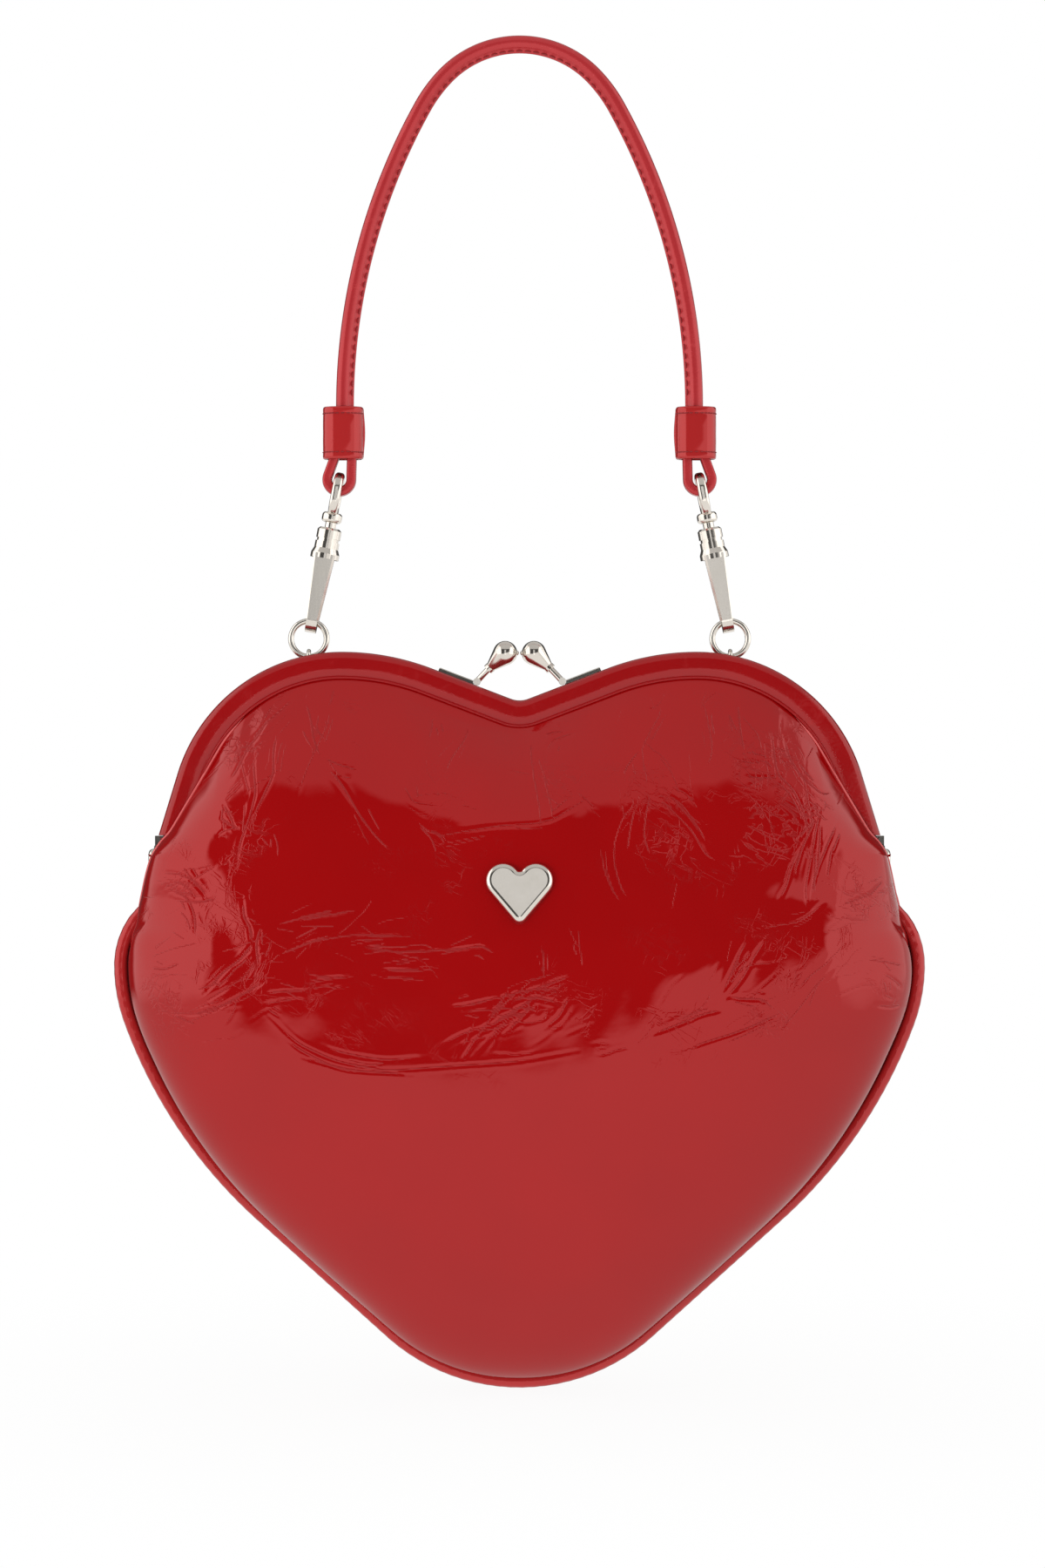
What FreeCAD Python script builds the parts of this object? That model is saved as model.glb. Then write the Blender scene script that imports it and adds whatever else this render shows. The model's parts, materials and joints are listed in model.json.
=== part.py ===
"""Heart-shaped leather purse with a hinged kiss-lock frame and a rolled handle on swivel snap hooks.

The purse hangs from its handle. The origin is the middle of the handle's crown, +Z is up and the
front of the purse faces -Y. All lengths are millimetres and all angles are degrees.
The bag is drawn about its hinge: x along the hinge axis, y = 0 on the plane where the two
halves of the frame meet, z = 0 at the hinge. Everything moves to the handle's crown when saved.
"""
import FreeCAD, Part
import math
import os

Vector = FreeCAD.Vector

# Running room shared by many pieces
FIT = 0.05
SEAT_GAP = 0.2
CLEAR = 0.3
OVERRUN = 2.0

# Frame crest, from the valley in the middle out to the hinge
VALLEY_RADIUS = 6.5
VALLEY_ANGLE = 21.0
VALLEY_RUN = 22.88
LOBE_RADIUS = 68.0
SHOULDER_RADIUS = 46.5
SIDE_LEAN = 17.0
SIDE_RUN = 24.0

# Frame section, one half
RIM_WIDTH = 7.4
RIM_DEPTH = 6.0
PARTING = 0.1
COVER_WALL = 1.25
COVER_FRONT_ROUND = 2.2
COVER_EDGE_ROUND = 0.5
COVER_END_HEIGHT = 6.2

# Hinge ears and rivets
EAR_RADIUS = 3.4
EAR_THICKNESS = 1.1
EAR_GAP = 0.1
EAR_INSET = 0.5
RIVET_RADIUS = 1.1
RIVET_HEAD_RADIUS = 2.5
RIVET_HEAD_HEIGHT = 1.5
RIVET_TAIL_RADIUS = 1.9
RIVET_TAIL_HEIGHT = 0.8

# Pouch outline, from the widest place down to the tip
POUCH_HALF_WIDTH = 110.0
POUCH_WIDEST_DROP = 29.1
HIP_RADIUS = 23.0
HIP_ANGLE = 37.0
SIDE_RADIUS = 46.0
SIDE_ANGLE = 20.0
FLANK_RADIUS = 133.0
FLANK_ANGLE = 28.0
TIP_RADIUS = 54.0
PIPING_RADIUS = 1.9
PIPING_FLANGE = 5.0
PIPING_FLANGE_THICKNESS = 0.8

# Pouch depth and sheets
BULGE = 33.0
BULGE_DROP = 42.0
PANEL_THICKNESS = 1.4
STIFFENER_THICKNESS = 1.0
LINING_THICKNESS = 0.6
SHEET_GAP = 0.25
SEAM_GAP = 1.2
SEAM_OPENING_DROP = 14.0
PANEL_HINGE_INSET = 2.5
FLAP_START = 79.0
FLAP_END_HEIGHT = 5.0
FLAP_EMERGES = 50.0
LINING_HINGE_INSET = 10.0
LINING_TOP_GAP = 1.2

# Shares that shape the pouch's swell
MOUTH_DROP_SHARE = 0.16
TIP_SWELL_POWER = 2.6
TIP_ROUND_POWER = 0.62
WIDTH_FULLNESS = 0.92
DEPTH_FULLNESS = 0.8
PANEL_TIP_SHARE = 0.8
INNER_TIP_SHARE = 0.35
COLUMNS = 31
UPPER_ROWS = 5
LOWER_ROWS_PER_LEG = 4

# Strap rings and the staples that hold them
RING_X = 57.3
RING_RADIUS = 4.85
RING_WIRE_RADIUS = 0.8
STAPLE_WIRE_RADIUS = 0.55
STAPLE_ROOM = 0.25
STAPLE_DEPTH = 1.5
SLOT_SIDE = 2.2
SLOT_END = 0.6

# Snap hook, along its own axis from the ring's wire up to the handle's loop
HOOK_LENGTH = 36.0
BEND_INNER_RADIUS = 2.0
BEND_THICKNESS = 1.5
BEND_WIDTH = 3.0
BEND_ROOM = 0.55
SPINE_TOP_WIDTH = 6.0
SPINE_FOOT_WIDTH = 3.8
SPINE_OVERLAP = 1.2
SPINE_CHAMFER = 0.6
TIP_HEIGHT = 5.0
BARREL_FOOT = 17.4
BARREL_TOP = 25.8
BARREL_FOOT_RADIUS = 3.9
BARREL_TOP_RADIUS = 3.3
BARREL_TOP_CHAMFER = 0.6
BARREL_GROOVE_RISE = 4.6
BARREL_GROOVE_HEIGHT = 0.9
BARREL_GROOVE_DEPTH = 0.35
BARREL_LIP_HEIGHT = 1.4
BARREL_CAVITY_RADIUS = 2.5
BARREL_ROOF = 1.8
CHEEK_THICKNESS = 1.0
CHEEK_BACK = 3.5
CHEEK_FRONT = 0.9
CHEEK_DROP = 3.2
GATE_WIDTH = 2.5
GATE_THICKNESS = 1.2
GATE_PIN_RADIUS = 0.55
GATE_PIN_DROP = 1.8
GATE_KNUCKLE_RADIUS = 1.1
THUMB_HEIGHT = 1.6
THUMB_DEPTH = 0.8
THUMB_RISE = 2.6
LEAF_THICKNESS = 0.3
LEAF_WIDTH = 1.8
LEAF_FOOT = 10.5
LEAF_TOUCH = 12.0

# Swivel eye
EYE_INNER_RADIUS = 3.3
EYE_WIRE_RADIUS = 0.95
EYE_FLAT = 0.7
EYE_COLLAR_RADIUS = 2.75
EYE_COLLAR_HEIGHT = 2.8
EYE_NECK_RADIUS = 1.5
EYE_NECK_HEIGHT = 1.4
EYE_POST_RADIUS = 1.3
EYE_HEAD_RADIUS = 2.2
EYE_HEAD_HEIGHT = 1.2

# Handle
CROWN_RADIUS = 28.5
CROWN_ANGLE = 46.5
ARCH_RADIUS = 41.0
ARCH_ANGLE = 14.5
LEG_RADIUS = 169.0
HANDLE_RADIUS = 1.95
HANDLE_CORE_RADIUS = 1.1
HANDLE_FLANGE = 0.95
HANDLE_FLANGE_THICKNESS = 1.4
KEEPER_LENGTH = 14.2
KEEPER_WALL = 1.35
KEEPER_ROUND = 3.2
KEEPER_INNER_ROUND = 0.4
LOOP_OUTER_RADIUS = 4.6
LOOP_HOLE_RADIUS = 1.9
LOOP_NECK_RADIUS = 3.85
LOOP_HOLE_TOP_RADIUS = 0.6
LOOP_DROP = 5.6
LOOP_HOLE_LENGTH = 4.2
LOOP_WIDTH = 5.0

# Kiss-lock clasp
CLASP_FOOT_START = 13.3
CLASP_FOOT_LENGTH = 9.4
CLASP_FOOT_REACH = 1.0
CLASP_FOOT_ROUND = 0.35
CLASP_FOOT_WIDTH = 2.8
CLASP_FOOT_THICKNESS = 1.1
CLASP_FOOT_OFFSET = 2.4
CLASP_PEG_RADIUS = 0.6
CLASP_PEG_DEPTH = 1.2
CLASP_ROOT_X = 11.6
CLASP_ROOT_RADIUS = 1.0
CLASP_ARM_RADIUS = 0.85
CLASP_COLLAR_X = 8.2
CLASP_COLLAR_RISE = 3.6
CLASP_COLLAR_OFFSET = 1.2
CLASP_COLLAR_RADIUS = 1.45
CLASP_COLLAR_HEIGHT = 0.9
KNOB_X = 3.9
KNOB_RISE = 4.1
KNOB_RADIUS = 3.3
KNOB_NECK_RADIUS = 1.05
NUB_RADIUS = 0.75
NUB_GAP = 0.3

# Heart stud on the front
STUD_DROP = 9.5
STUD_LOBE_RADIUS = 4.6
STUD_CLEFT_ANGLE = 70.0
STUD_FLANK_ANGLE = 50.0
STUD_CLEFT_RISE = 5.4
STUD_CLEFT_ROUND = 0.8
STUD_POINT_ROUND = 2.0
STUD_THICKNESS = 3.0
STUD_ROUND = 1.5
STUD_POST_RADIUS = 0.6
STUD_POST_SPACING = 7.0
STUD_PLATE_LENGTH = 10.0
STUD_PLATE_HEIGHT = 4.0
STUD_PLATE_THICKNESS = 0.5
STUD_LIFT = 0.1


def unit(angle):
    """Direction in the x-z plane at an angle above +X."""
    radians = math.radians(angle)
    return Vector(math.cos(radians), 0, math.sin(radians))


def right_of(angle):
    """Direction to the right of travel in the x-z plane."""
    return unit(angle - 90)


class Chain:
    """Tangent arcs and straight runs in the x-z plane, drawn at any depth to the right of travel.

    A leg is ("run", length), ("right", radius, angle) or ("left", radius, angle).
    """

    def __init__(self, start, heading, legs):
        self.legs = []
        point = start
        for leg in legs:
            self.legs.append((point, heading, leg))
            point, heading = self.place(self.legs[-1], 1, 0)
        self.end = point
        self.end_heading = heading

    @staticmethod
    def place(placed_leg, share, depth):
        """Point and heading at a share of a leg's length."""
        start, heading, leg = placed_leg
        if leg[0] == "run":
            return start + unit(heading) * (leg[1] * share) + right_of(heading) * depth, heading
        side = 1 if leg[0] == "right" else -1
        centre = start + right_of(heading) * (side * leg[1])
        turned = heading - side * leg[2] * share
        return centre - right_of(turned) * (side * leg[1] - depth), turned

    def edges(self, depth=0):
        """Edges of every leg at a depth."""
        made = []
        for placed in self.legs:
            first, middle, last = [self.place(placed, share, depth)[0] for share in (0, 0.5, 1)]
            if placed[2][0] == "run":
                made.append(Part.LineSegment(first, last).toShape())
            else:
                made.append(Part.Arc(first, middle, last).toShape())
        return made

    def ends(self, depth=0):
        """First and last point at a depth."""
        return self.place(self.legs[0], 0, depth)[0], self.place(self.legs[-1], 1, depth)[0]

    def height_at(self, x, depth=0):
        """Height of the curve at x, found by halving along the leg that spans it."""
        for placed in self.legs:
            low, high = 0.0, 1.0
            if self.place(placed, 1, depth)[0].x < x:
                continue
            for _ in range(40):
                middle = (low + high) / 2
                if self.place(placed, middle, depth)[0].x < x:
                    low = middle
                else:
                    high = middle
            return self.place(placed, low, depth)[0].z
        return self.ends(depth)[1].z


def flip(shape):
    """The same shape on the other side of x = 0."""
    return shape.mirror(Vector(0, 0, 0), Vector(1, 0, 0))


def back(shape):
    """The same shape on the other side of y = 0."""
    return shape.mirror(Vector(0, 0, 0), Vector(0, 1, 0))


def one_solid(shape):
    """The single solid of a boolean result."""
    return shape.removeSplitter().Solids[0]


def both_sides(edges):
    """Edges of a half and their mirror images as one wire."""
    return Part.Wire(Part.sortEdges(edges + [flip(edge) for edge in edges])[0])


def line(first, last):
    return Part.LineSegment(first, last).toShape()


def span(first_y, last_y):
    return Vector(0, last_y - first_y, 0)


def box(x0, x1, y0, y1, z0, z1):
    return Part.makeBox(x1 - x0, y1 - y0, z1 - z0, Vector(x0, y0, z0))


def rod(first, last, radius):
    """Round bar between two points."""
    along = last - first
    return Part.makeCylinder(radius, along.Length, first, along)


def band(chain, near, far, y0, y1):
    """Strip between two depths of a mirrored chain, from y0 to y1."""
    edges = chain.edges(near) + chain.edges(far)
    start, end = chain.ends()
    free_end = 1 if end.x > start.x else 0
    edges.append(line(chain.ends(near)[free_end], chain.ends(far)[free_end]))
    face = Part.Face(both_sides(edges))
    face.translate(Vector(0, y0, 0))
    return face.extrude(span(y0, y1))


def tube(chain, depth, radius):
    """Round tube along a mirrored chain."""
    path = both_sides(chain.edges(depth))
    start = path.OrderedVertexes[0].Point
    first = path.OrderedEdges[0]
    near_start = first.tangentAt(first.FirstParameter)
    profile = Part.Wire(Part.makeCircle(radius, start, near_start))
    return one_solid(path.makePipeShell([profile], True, False))


def tapered_slot(low, low_radius, high_radius, length):
    """Face round two circles, the second one straight above the first."""
    lean = math.degrees(math.asin((low_radius - high_radius) / length))
    top = low + Vector(0, 0, length)
    low_right = low + unit(lean) * low_radius
    top_right = top + unit(lean) * high_radius
    low_left = low + unit(180 - lean) * low_radius
    top_left = top + unit(180 - lean) * high_radius
    edges = [
        Part.Arc(low_left, low - Vector(0, 0, low_radius), low_right).toShape(),
        line(low_right, top_right),
        Part.Arc(top_right, top + Vector(0, 0, high_radius), top_left).toShape(),
        line(top_left, low_left),
    ]
    return Part.Face(Part.Wire(edges))


def ring(centre, axis, radius, wire_radius):
    return Part.makeTorus(radius, wire_radius, centre, axis)


# Frame crest, set so that it ends at the hinge
CREST_LEGS = [
    ("left", VALLEY_RADIUS, VALLEY_ANGLE),
    ("run", VALLEY_RUN),
    ("right", LOBE_RADIUS, VALLEY_ANGLE),
    ("right", SHOULDER_RADIUS, 90 - SIDE_LEAN),
    ("run", SIDE_RUN),
]
crest_drop = Chain(Vector(0, 0, 0), 0, CREST_LEGS).end.z
crest = Chain(Vector(0, 0, -crest_drop), 0, CREST_LEGS)
hinge_x = crest.end.x
valley_z = -crest_drop

# Y places of the front half, which the back half mirrors
rim_front = -PARTING - RIM_DEPTH
bar_front = rim_front + COVER_WALL
bar_back = -PARTING - COVER_WALL
rim_middle = PARTING + RIM_DEPTH / 2

# Hinge places along x
back_ear_outside = hinge_x - EAR_INSET
back_ear_inside = back_ear_outside - EAR_THICKNESS
front_ear_outside = back_ear_inside - EAR_GAP
front_ear_inside = front_ear_outside - EAR_THICKNESS

# Pouch outline, closed on x = 0 by its straight run
widest = Vector(POUCH_HALF_WIDTH, 0, -POUCH_WIDEST_DROP)
hip_start = widest - Vector(HIP_RADIUS, 0, 0) + unit(HIP_ANGLE) * HIP_RADIUS
tip_angle = 90 - SIDE_ANGLE - FLANK_ANGLE
upper_legs = [
    ("right", HIP_RADIUS, HIP_ANGLE),
    ("right", SIDE_RADIUS, SIDE_ANGLE),
    ("right", FLANK_RADIUS, FLANK_ANGLE),
]
flank = Chain(hip_start, HIP_ANGLE - 90, upper_legs)
tip_reach = TIP_RADIUS * math.sin(math.radians(tip_angle))
closing_run = (flank.end.x - tip_reach) / math.sin(math.radians(SIDE_ANGLE + FLANK_ANGLE))
closing_legs = [("run", closing_run), ("right", TIP_RADIUS, tip_angle)]
outline = Chain(hip_start, HIP_ANGLE - 90, upper_legs + closing_legs)
panel_inset = 2 * PIPING_RADIUS + CLEAR
panel_tip_z = outline.ends(panel_inset)[1].z

# Chain of strap pieces, from the ring up to the handle's crown
ring_foot_z = crest.height_at(RING_X) - COVER_WALL + SEAT_GAP + RING_WIRE_RADIUS
ring_centre = Vector(RING_X, rim_middle, ring_foot_z + RING_RADIUS)
CROWN_LEGS = [
    ("right", CROWN_RADIUS, CROWN_ANGLE),
    ("right", ARCH_RADIUS, ARCH_ANGLE),
    ("right", LEG_RADIUS, 90 - CROWN_ANGLE - ARCH_ANGLE),
]
keeper_x = Chain(Vector(0, 0, 0), 0, CROWN_LEGS).end.x
loop_centre_radius = (LOOP_OUTER_RADIUS + LOOP_HOLE_RADIUS) / 2
strap_length = LOOP_DROP + loop_centre_radius + HOOK_LENGTH + RING_RADIUS
hook_tilt = math.degrees(math.asin((RING_X - keeper_x) / strap_length))
hook_up = unit(90 + hook_tilt)
ring_contact = ring_centre + hook_up * RING_RADIUS
loop_pivot = ring_contact + hook_up * HOOK_LENGTH
loop_centre = loop_pivot + hook_up * loop_centre_radius
keeper_foot = loop_centre + hook_up * LOOP_DROP
tube_end_z = keeper_foot.z + LOOP_NECK_RADIUS + SEAT_GAP
handle_start = Chain(Vector(0, 0, 0), 0, CROWN_LEGS)
crown_z = keeper_foot.z + KEEPER_LENGTH - handle_start.end.z
tube_run = keeper_foot.z + KEEPER_LENGTH - tube_end_z
origin = Vector(0, rim_middle, crown_z)


def save(name, shape):
    """Move a finished piece to the crown's frame and write it."""
    solid = shape if shape.ShapeType == "Solid" else one_solid(shape)
    solid = solid.copy()
    solid.translate(-origin)
    if not solid.isValid() or solid.Volume <= 0:
        print("check this piece:", name)
    solid.exportStep("parts/" + name + ".step")
    print(name, "volume", round(solid.Volume, 1), "mm3")


def save_pair(name, shape):
    """Write a right-hand piece and its left-hand mirror image."""
    save(name + "_right", shape)
    save(name + "_left", flip(shape))


def save_on_hooks(name, shape):
    """Place a piece drawn about the ring's wire, hook upright, on the right and left hooks."""
    for side, word in ((1, "_right"), (-1, "_left")):
        placed = shape.copy()
        placed.rotate(Vector(0, 0, 0), Vector(0, 1, 0), -side * hook_tilt)
        placed.translate(Vector(side * ring_contact.x, ring_contact.y, ring_contact.z))
        save(name + word, placed)


# Handle: cord core, sewn leather wrap, end loops and the sleeves that keep them


def handle_pieces():
    crown = Vector(0, 0, crown_z)
    path = Chain(crown, 0, CROWN_LEGS + [("run", tube_run)])
    core = tube(path, 0, HANDLE_CORE_RADIUS)
    flange_tip = HANDLE_RADIUS + HANDLE_FLANGE
    flange_root = (HANDLE_RADIUS + HANDLE_CORE_RADIUS) / 2
    flange_path = Chain(crown, 0, CROWN_LEGS)
    half = HANDLE_FLANGE_THICKNESS / 2
    flange = band(flange_path, flange_root, flange_tip, -half, half)
    wrap = tube(path, 0, HANDLE_RADIUS).fuse(flange)
    wrap = one_solid(wrap.cut(tube(path, 0, HANDLE_CORE_RADIUS + FIT)))
    for name, shape in (("handle_core", core), ("handle_wrap", wrap)):
        shape.translate(Vector(0, rim_middle, 0))
        save(name, shape)


def loop_tab():
    outside = tapered_slot(Vector(0, 0, 0), LOOP_OUTER_RADIUS, LOOP_NECK_RADIUS, LOOP_DROP)
    hole = tapered_slot(Vector(0, 0, 0), LOOP_HOLE_RADIUS, LOOP_HOLE_TOP_RADIUS, LOOP_HOLE_LENGTH)
    face = outside.cut(hole).Faces[0]
    face.translate(Vector(0, -LOOP_WIDTH / 2, 0))
    strap = face.extrude(Vector(0, LOOP_WIDTH, 0))
    strap.rotate(Vector(0, 0, 0), Vector(0, 1, 0), -hook_tilt)
    strap.translate(loop_centre)
    return strap


def keeper():
    half_x = LOOP_NECK_RADIUS + CLEAR
    half_y = LOOP_WIDTH / 2 + SEAT_GAP
    outer_x = half_x + KEEPER_WALL
    outer_y = half_y + KEEPER_WALL
    outside = box(-outer_x, outer_x, -outer_y, outer_y, 0, KEEPER_LENGTH)
    hole = box(-half_x, half_x, -half_y, half_y, -OVERRUN, KEEPER_LENGTH + OVERRUN)
    outside = outside.makeFillet(KEEPER_ROUND, upright_edges(outside))
    hole = hole.makeFillet(KEEPER_INNER_ROUND, upright_edges(hole))
    sleeve = outside.cut(hole)
    sleeve.translate(keeper_foot)
    return sleeve


def upright_edges(shape):
    return [edge for edge in shape.Edges if abs(edge.tangentAt(edge.FirstParameter).z) > 0.5]


# Snap hooks, drawn upright about the ring's wire


def hook_body():
    outer = BEND_INNER_RADIUS + BEND_THICKNESS
    ring_sag = RING_RADIUS - math.sqrt(RING_RADIUS ** 2 - (BEND_WIDTH / 2) ** 2)
    bend_z = BEND_INNER_RADIUS - RING_WIRE_RADIUS - ring_sag - BEND_ROOM
    half = BEND_WIDTH / 2
    side = Vector(1, 0, 0)
    bend_start = Vector(-half, 0, bend_z)
    bend = Part.makeCylinder(outer, BEND_WIDTH, bend_start, side)
    bend = bend.cut(Part.makeCylinder(BEND_INNER_RADIUS, BEND_WIDTH, bend_start, side))
    bend = bend.cut(box(-outer, outer, -2 * outer, 2 * outer, bend_z, bend_z + 2 * outer))
    tip = box(-half, half, BEND_INNER_RADIUS, outer, bend_z, TIP_HEIGHT)
    spine_top = BARREL_FOOT + SPINE_OVERLAP
    corners = [
        Vector(-SPINE_FOOT_WIDTH / 2, -outer, bend_z),
        Vector(SPINE_FOOT_WIDTH / 2, -outer, bend_z),
        Vector(SPINE_TOP_WIDTH / 2, -outer, spine_top),
        Vector(-SPINE_TOP_WIDTH / 2, -outer, spine_top),
    ]
    spine = Part.Face(Part.makePolygon(corners + corners[:1])).extrude(Vector(0, BEND_THICKNESS, 0))
    flanks = [edge for edge in upright_edges(spine) if abs(edge.CenterOfMass.y + outer) < FIT]
    spine = spine.makeChamfer(SPINE_CHAMFER, flanks)
    groove_foot = BARREL_FOOT + BARREL_GROOVE_RISE
    groove_top = groove_foot + BARREL_GROOVE_HEIGHT
    groove_radius = BARREL_TOP_RADIUS - BARREL_GROOVE_DEPTH
    profile = [
        Vector(0, 0, BARREL_FOOT),
        Vector(BARREL_FOOT_RADIUS, 0, BARREL_FOOT),
        Vector(BARREL_FOOT_RADIUS, 0, BARREL_FOOT + BARREL_LIP_HEIGHT),
        Vector(BARREL_TOP_RADIUS, 0, BARREL_FOOT + 2 * BARREL_LIP_HEIGHT),
        Vector(BARREL_TOP_RADIUS, 0, groove_foot),
        Vector(groove_radius, 0, groove_foot),
        Vector(groove_radius, 0, groove_top),
        Vector(BARREL_TOP_RADIUS, 0, groove_top),
        Vector(BARREL_TOP_RADIUS, 0, BARREL_TOP - BARREL_TOP_CHAMFER),
        Vector(BARREL_TOP_RADIUS - BARREL_TOP_CHAMFER, 0, BARREL_TOP),
        Vector(0, 0, BARREL_TOP),
    ]
    barrel = Part.Face(Part.makePolygon(profile + profile[:1])).revolve(Vector(0, 0, 0), Vector(0, 0, 1), 360)
    cavity_height = BARREL_TOP - BARREL_ROOF - BARREL_FOOT
    cavity = Part.makeCylinder(BARREL_CAVITY_RADIUS, cavity_height, Vector(0, 0, BARREL_FOOT))
    post_hole = Part.makeCylinder(EYE_POST_RADIUS + FIT, BARREL_TOP, Vector(0, 0, BARREL_FOOT))
    body = bend.fuse([tip, spine, barrel.cut(cavity).cut(post_hole)])
    gate_side = GATE_WIDTH / 2 + 2 * FIT
    for first, last in ((gate_side, gate_side + CHEEK_THICKNESS), (-gate_side - CHEEK_THICKNESS, -gate_side)):
        cheek_foot = BARREL_FOOT - CHEEK_DROP
        cheek_top = BARREL_FOOT + BARREL_LIP_HEIGHT
        body = body.fuse(box(first, last, CHEEK_FRONT, CHEEK_BACK, cheek_foot, cheek_top))
    return one_solid(body.cut(gate_pin(GATE_PIN_RADIUS + FIT)))


def gate_pivot():
    return Vector(0, BEND_INNER_RADIUS + GATE_THICKNESS / 2, BARREL_FOOT - GATE_PIN_DROP)


def gate_pin(radius):
    reach = Vector(GATE_WIDTH / 2 + 2 * FIT + CHEEK_THICKNESS, 0, 0)
    return rod(gate_pivot() - reach, gate_pivot() + reach, radius)


def gate():
    pivot = gate_pivot()
    half = GATE_WIDTH / 2
    inside = BEND_INNER_RADIUS
    outside = inside + GATE_THICKNESS
    foot = TIP_HEIGHT + SEAT_GAP
    arm = box(-half, half, inside, outside, foot, pivot.z)
    thumb_foot = foot + THUMB_RISE
    thumb = box(-half, half, outside - FIT, outside + THUMB_DEPTH, thumb_foot, thumb_foot + THUMB_HEIGHT)
    knuckle = rod(pivot - Vector(half, 0, 0), pivot + Vector(half, 0, 0), GATE_KNUCKLE_RADIUS)
    return one_solid(arm.fuse([thumb, knuckle]).cut(gate_pin(GATE_PIN_RADIUS + FIT)))


def gate_spring():
    """Bent leaf that lies on the spine and leans on the gate."""
    back_of_spine = -BEND_INNER_RADIUS + FIT
    touch = BEND_INNER_RADIUS - FIT
    bend_top = BARREL_FOOT - LEAF_THICKNESS
    corners = [
        Vector(0, back_of_spine, LEAF_FOOT),
        Vector(0, back_of_spine, bend_top),
        Vector(0, back_of_spine + LEAF_THICKNESS, bend_top),
        Vector(0, touch, LEAF_TOUCH + LEAF_THICKNESS),
        Vector(0, touch, LEAF_TOUCH),
        Vector(0, back_of_spine + LEAF_THICKNESS, bend_top - 2 * LEAF_THICKNESS),
        Vector(0, back_of_spine + LEAF_THICKNESS, LEAF_FOOT),
    ]
    face = Part.Face(Part.makePolygon(corners + corners[:1]))
    face.translate(Vector(-LEAF_WIDTH / 2, 0, 0))
    return face.extrude(Vector(LEAF_WIDTH, 0, 0))


def eye_section(y, z):
    """Flat section with round ends of the eye's wire, across the hook."""
    middle = Vector(0, y, z)
    near = Vector(0, -EYE_WIRE_RADIUS, 0)
    end = Vector(EYE_FLAT / 2, 0, 0)
    out = Vector(EYE_WIRE_RADIUS, 0, 0)
    edges = [
        line(middle - end + near, middle + end + near),
        Part.Arc(middle + end + near, middle + end + out, middle + end - near).toShape(),
        line(middle + end - near, middle - end - near),
        Part.Arc(middle - end - near, middle - end - out, middle - end + near).toShape(),
    ]
    return Part.Face(Part.Wire(edges))


def swivel_eye():
    up = Vector(0, 0, 1)
    wire_path = EYE_INNER_RADIUS + EYE_WIRE_RADIUS
    neck_foot = BARREL_TOP + SEAT_GAP / 2
    collar_foot = neck_foot + EYE_NECK_HEIGHT
    low_z = collar_foot + EYE_COLLAR_HEIGHT - EYE_WIRE_RADIUS / 2 + wire_path
    high_z = HOOK_LENGTH
    upper = eye_section(wire_path, high_z).revolve(Vector(0, 0, high_z), Vector(1, 0, 0), 180)
    lower = eye_section(wire_path, low_z).revolve(Vector(0, 0, low_z), Vector(-1, 0, 0), 180)
    pieces = [lower]
    for y in (-wire_path, wire_path):
        pieces.append(eye_section(y, low_z).extrude(up * (high_z - low_z)))
    collar = Part.makeCylinder(EYE_COLLAR_RADIUS, EYE_COLLAR_HEIGHT, Vector(0, 0, collar_foot))
    collar = collar.makeFillet(EYE_COLLAR_HEIGHT / 3, collar.Edges[:1] + collar.Edges[2:])
    head_top = BARREL_TOP - BARREL_ROOF - SEAT_GAP / 2
    head_foot = head_top - EYE_HEAD_HEIGHT
    pieces += [
        collar,
        Part.makeCylinder(EYE_NECK_RADIUS, EYE_NECK_HEIGHT, Vector(0, 0, neck_foot)),
        Part.makeCylinder(EYE_POST_RADIUS, neck_foot - head_foot, Vector(0, 0, head_foot)),
        Part.makeCylinder(EYE_HEAD_RADIUS, EYE_HEAD_HEIGHT, Vector(0, 0, head_foot)),
    ]
    return one_solid(upper.fuse(pieces))


# Frame halves: steel bar, leather cover, hinge ears and rivets


def ring_staple(radius):
    """Wire staple over the foot of the ring, brazed into the back bar."""
    arch = RING_WIRE_RADIUS + STAPLE_ROOM + STAPLE_WIRE_RADIUS
    centre = Vector(RING_X, rim_middle, ring_foot_z)
    foot_z = crest.height_at(RING_X) - COVER_WALL - STAPLE_DEPTH
    start = centre + Vector(0, arch, 0)
    circle = Part.Face(Part.Wire(Part.makeCircle(radius, start, Vector(0, 0, 1))))
    staple = circle.revolve(centre, Vector(1, 0, 0), 180)
    for y in (-arch, arch):
        top = centre + Vector(0, y, 0)
        staple = staple.fuse(rod(Vector(top.x, top.y, foot_z), top, radius))
    return one_solid(staple)


def clasp_foot_frame():
    """Start of the clasp's foot on the crest, and the direction that it runs in."""
    along = unit(VALLEY_ANGLE)
    start = Vector(CLASP_FOOT_START, 0, crest.height_at(CLASP_FOOT_START))
    return start, along


def clasp_pegs(y, radius):
    start, along = clasp_foot_frame()
    down = right_of(VALLEY_ANGLE)
    pegs = []
    for share in (0.25, 0.75):
        top = start + along * (CLASP_FOOT_LENGTH * share) + Vector(0, y, 0)
        foot = top + down * (COVER_WALL + CLASP_PEG_DEPTH)
        pegs.append(rod(top - down * (CLASP_FOOT_THICKNESS / 2), foot, radius))
    return pegs


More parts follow.
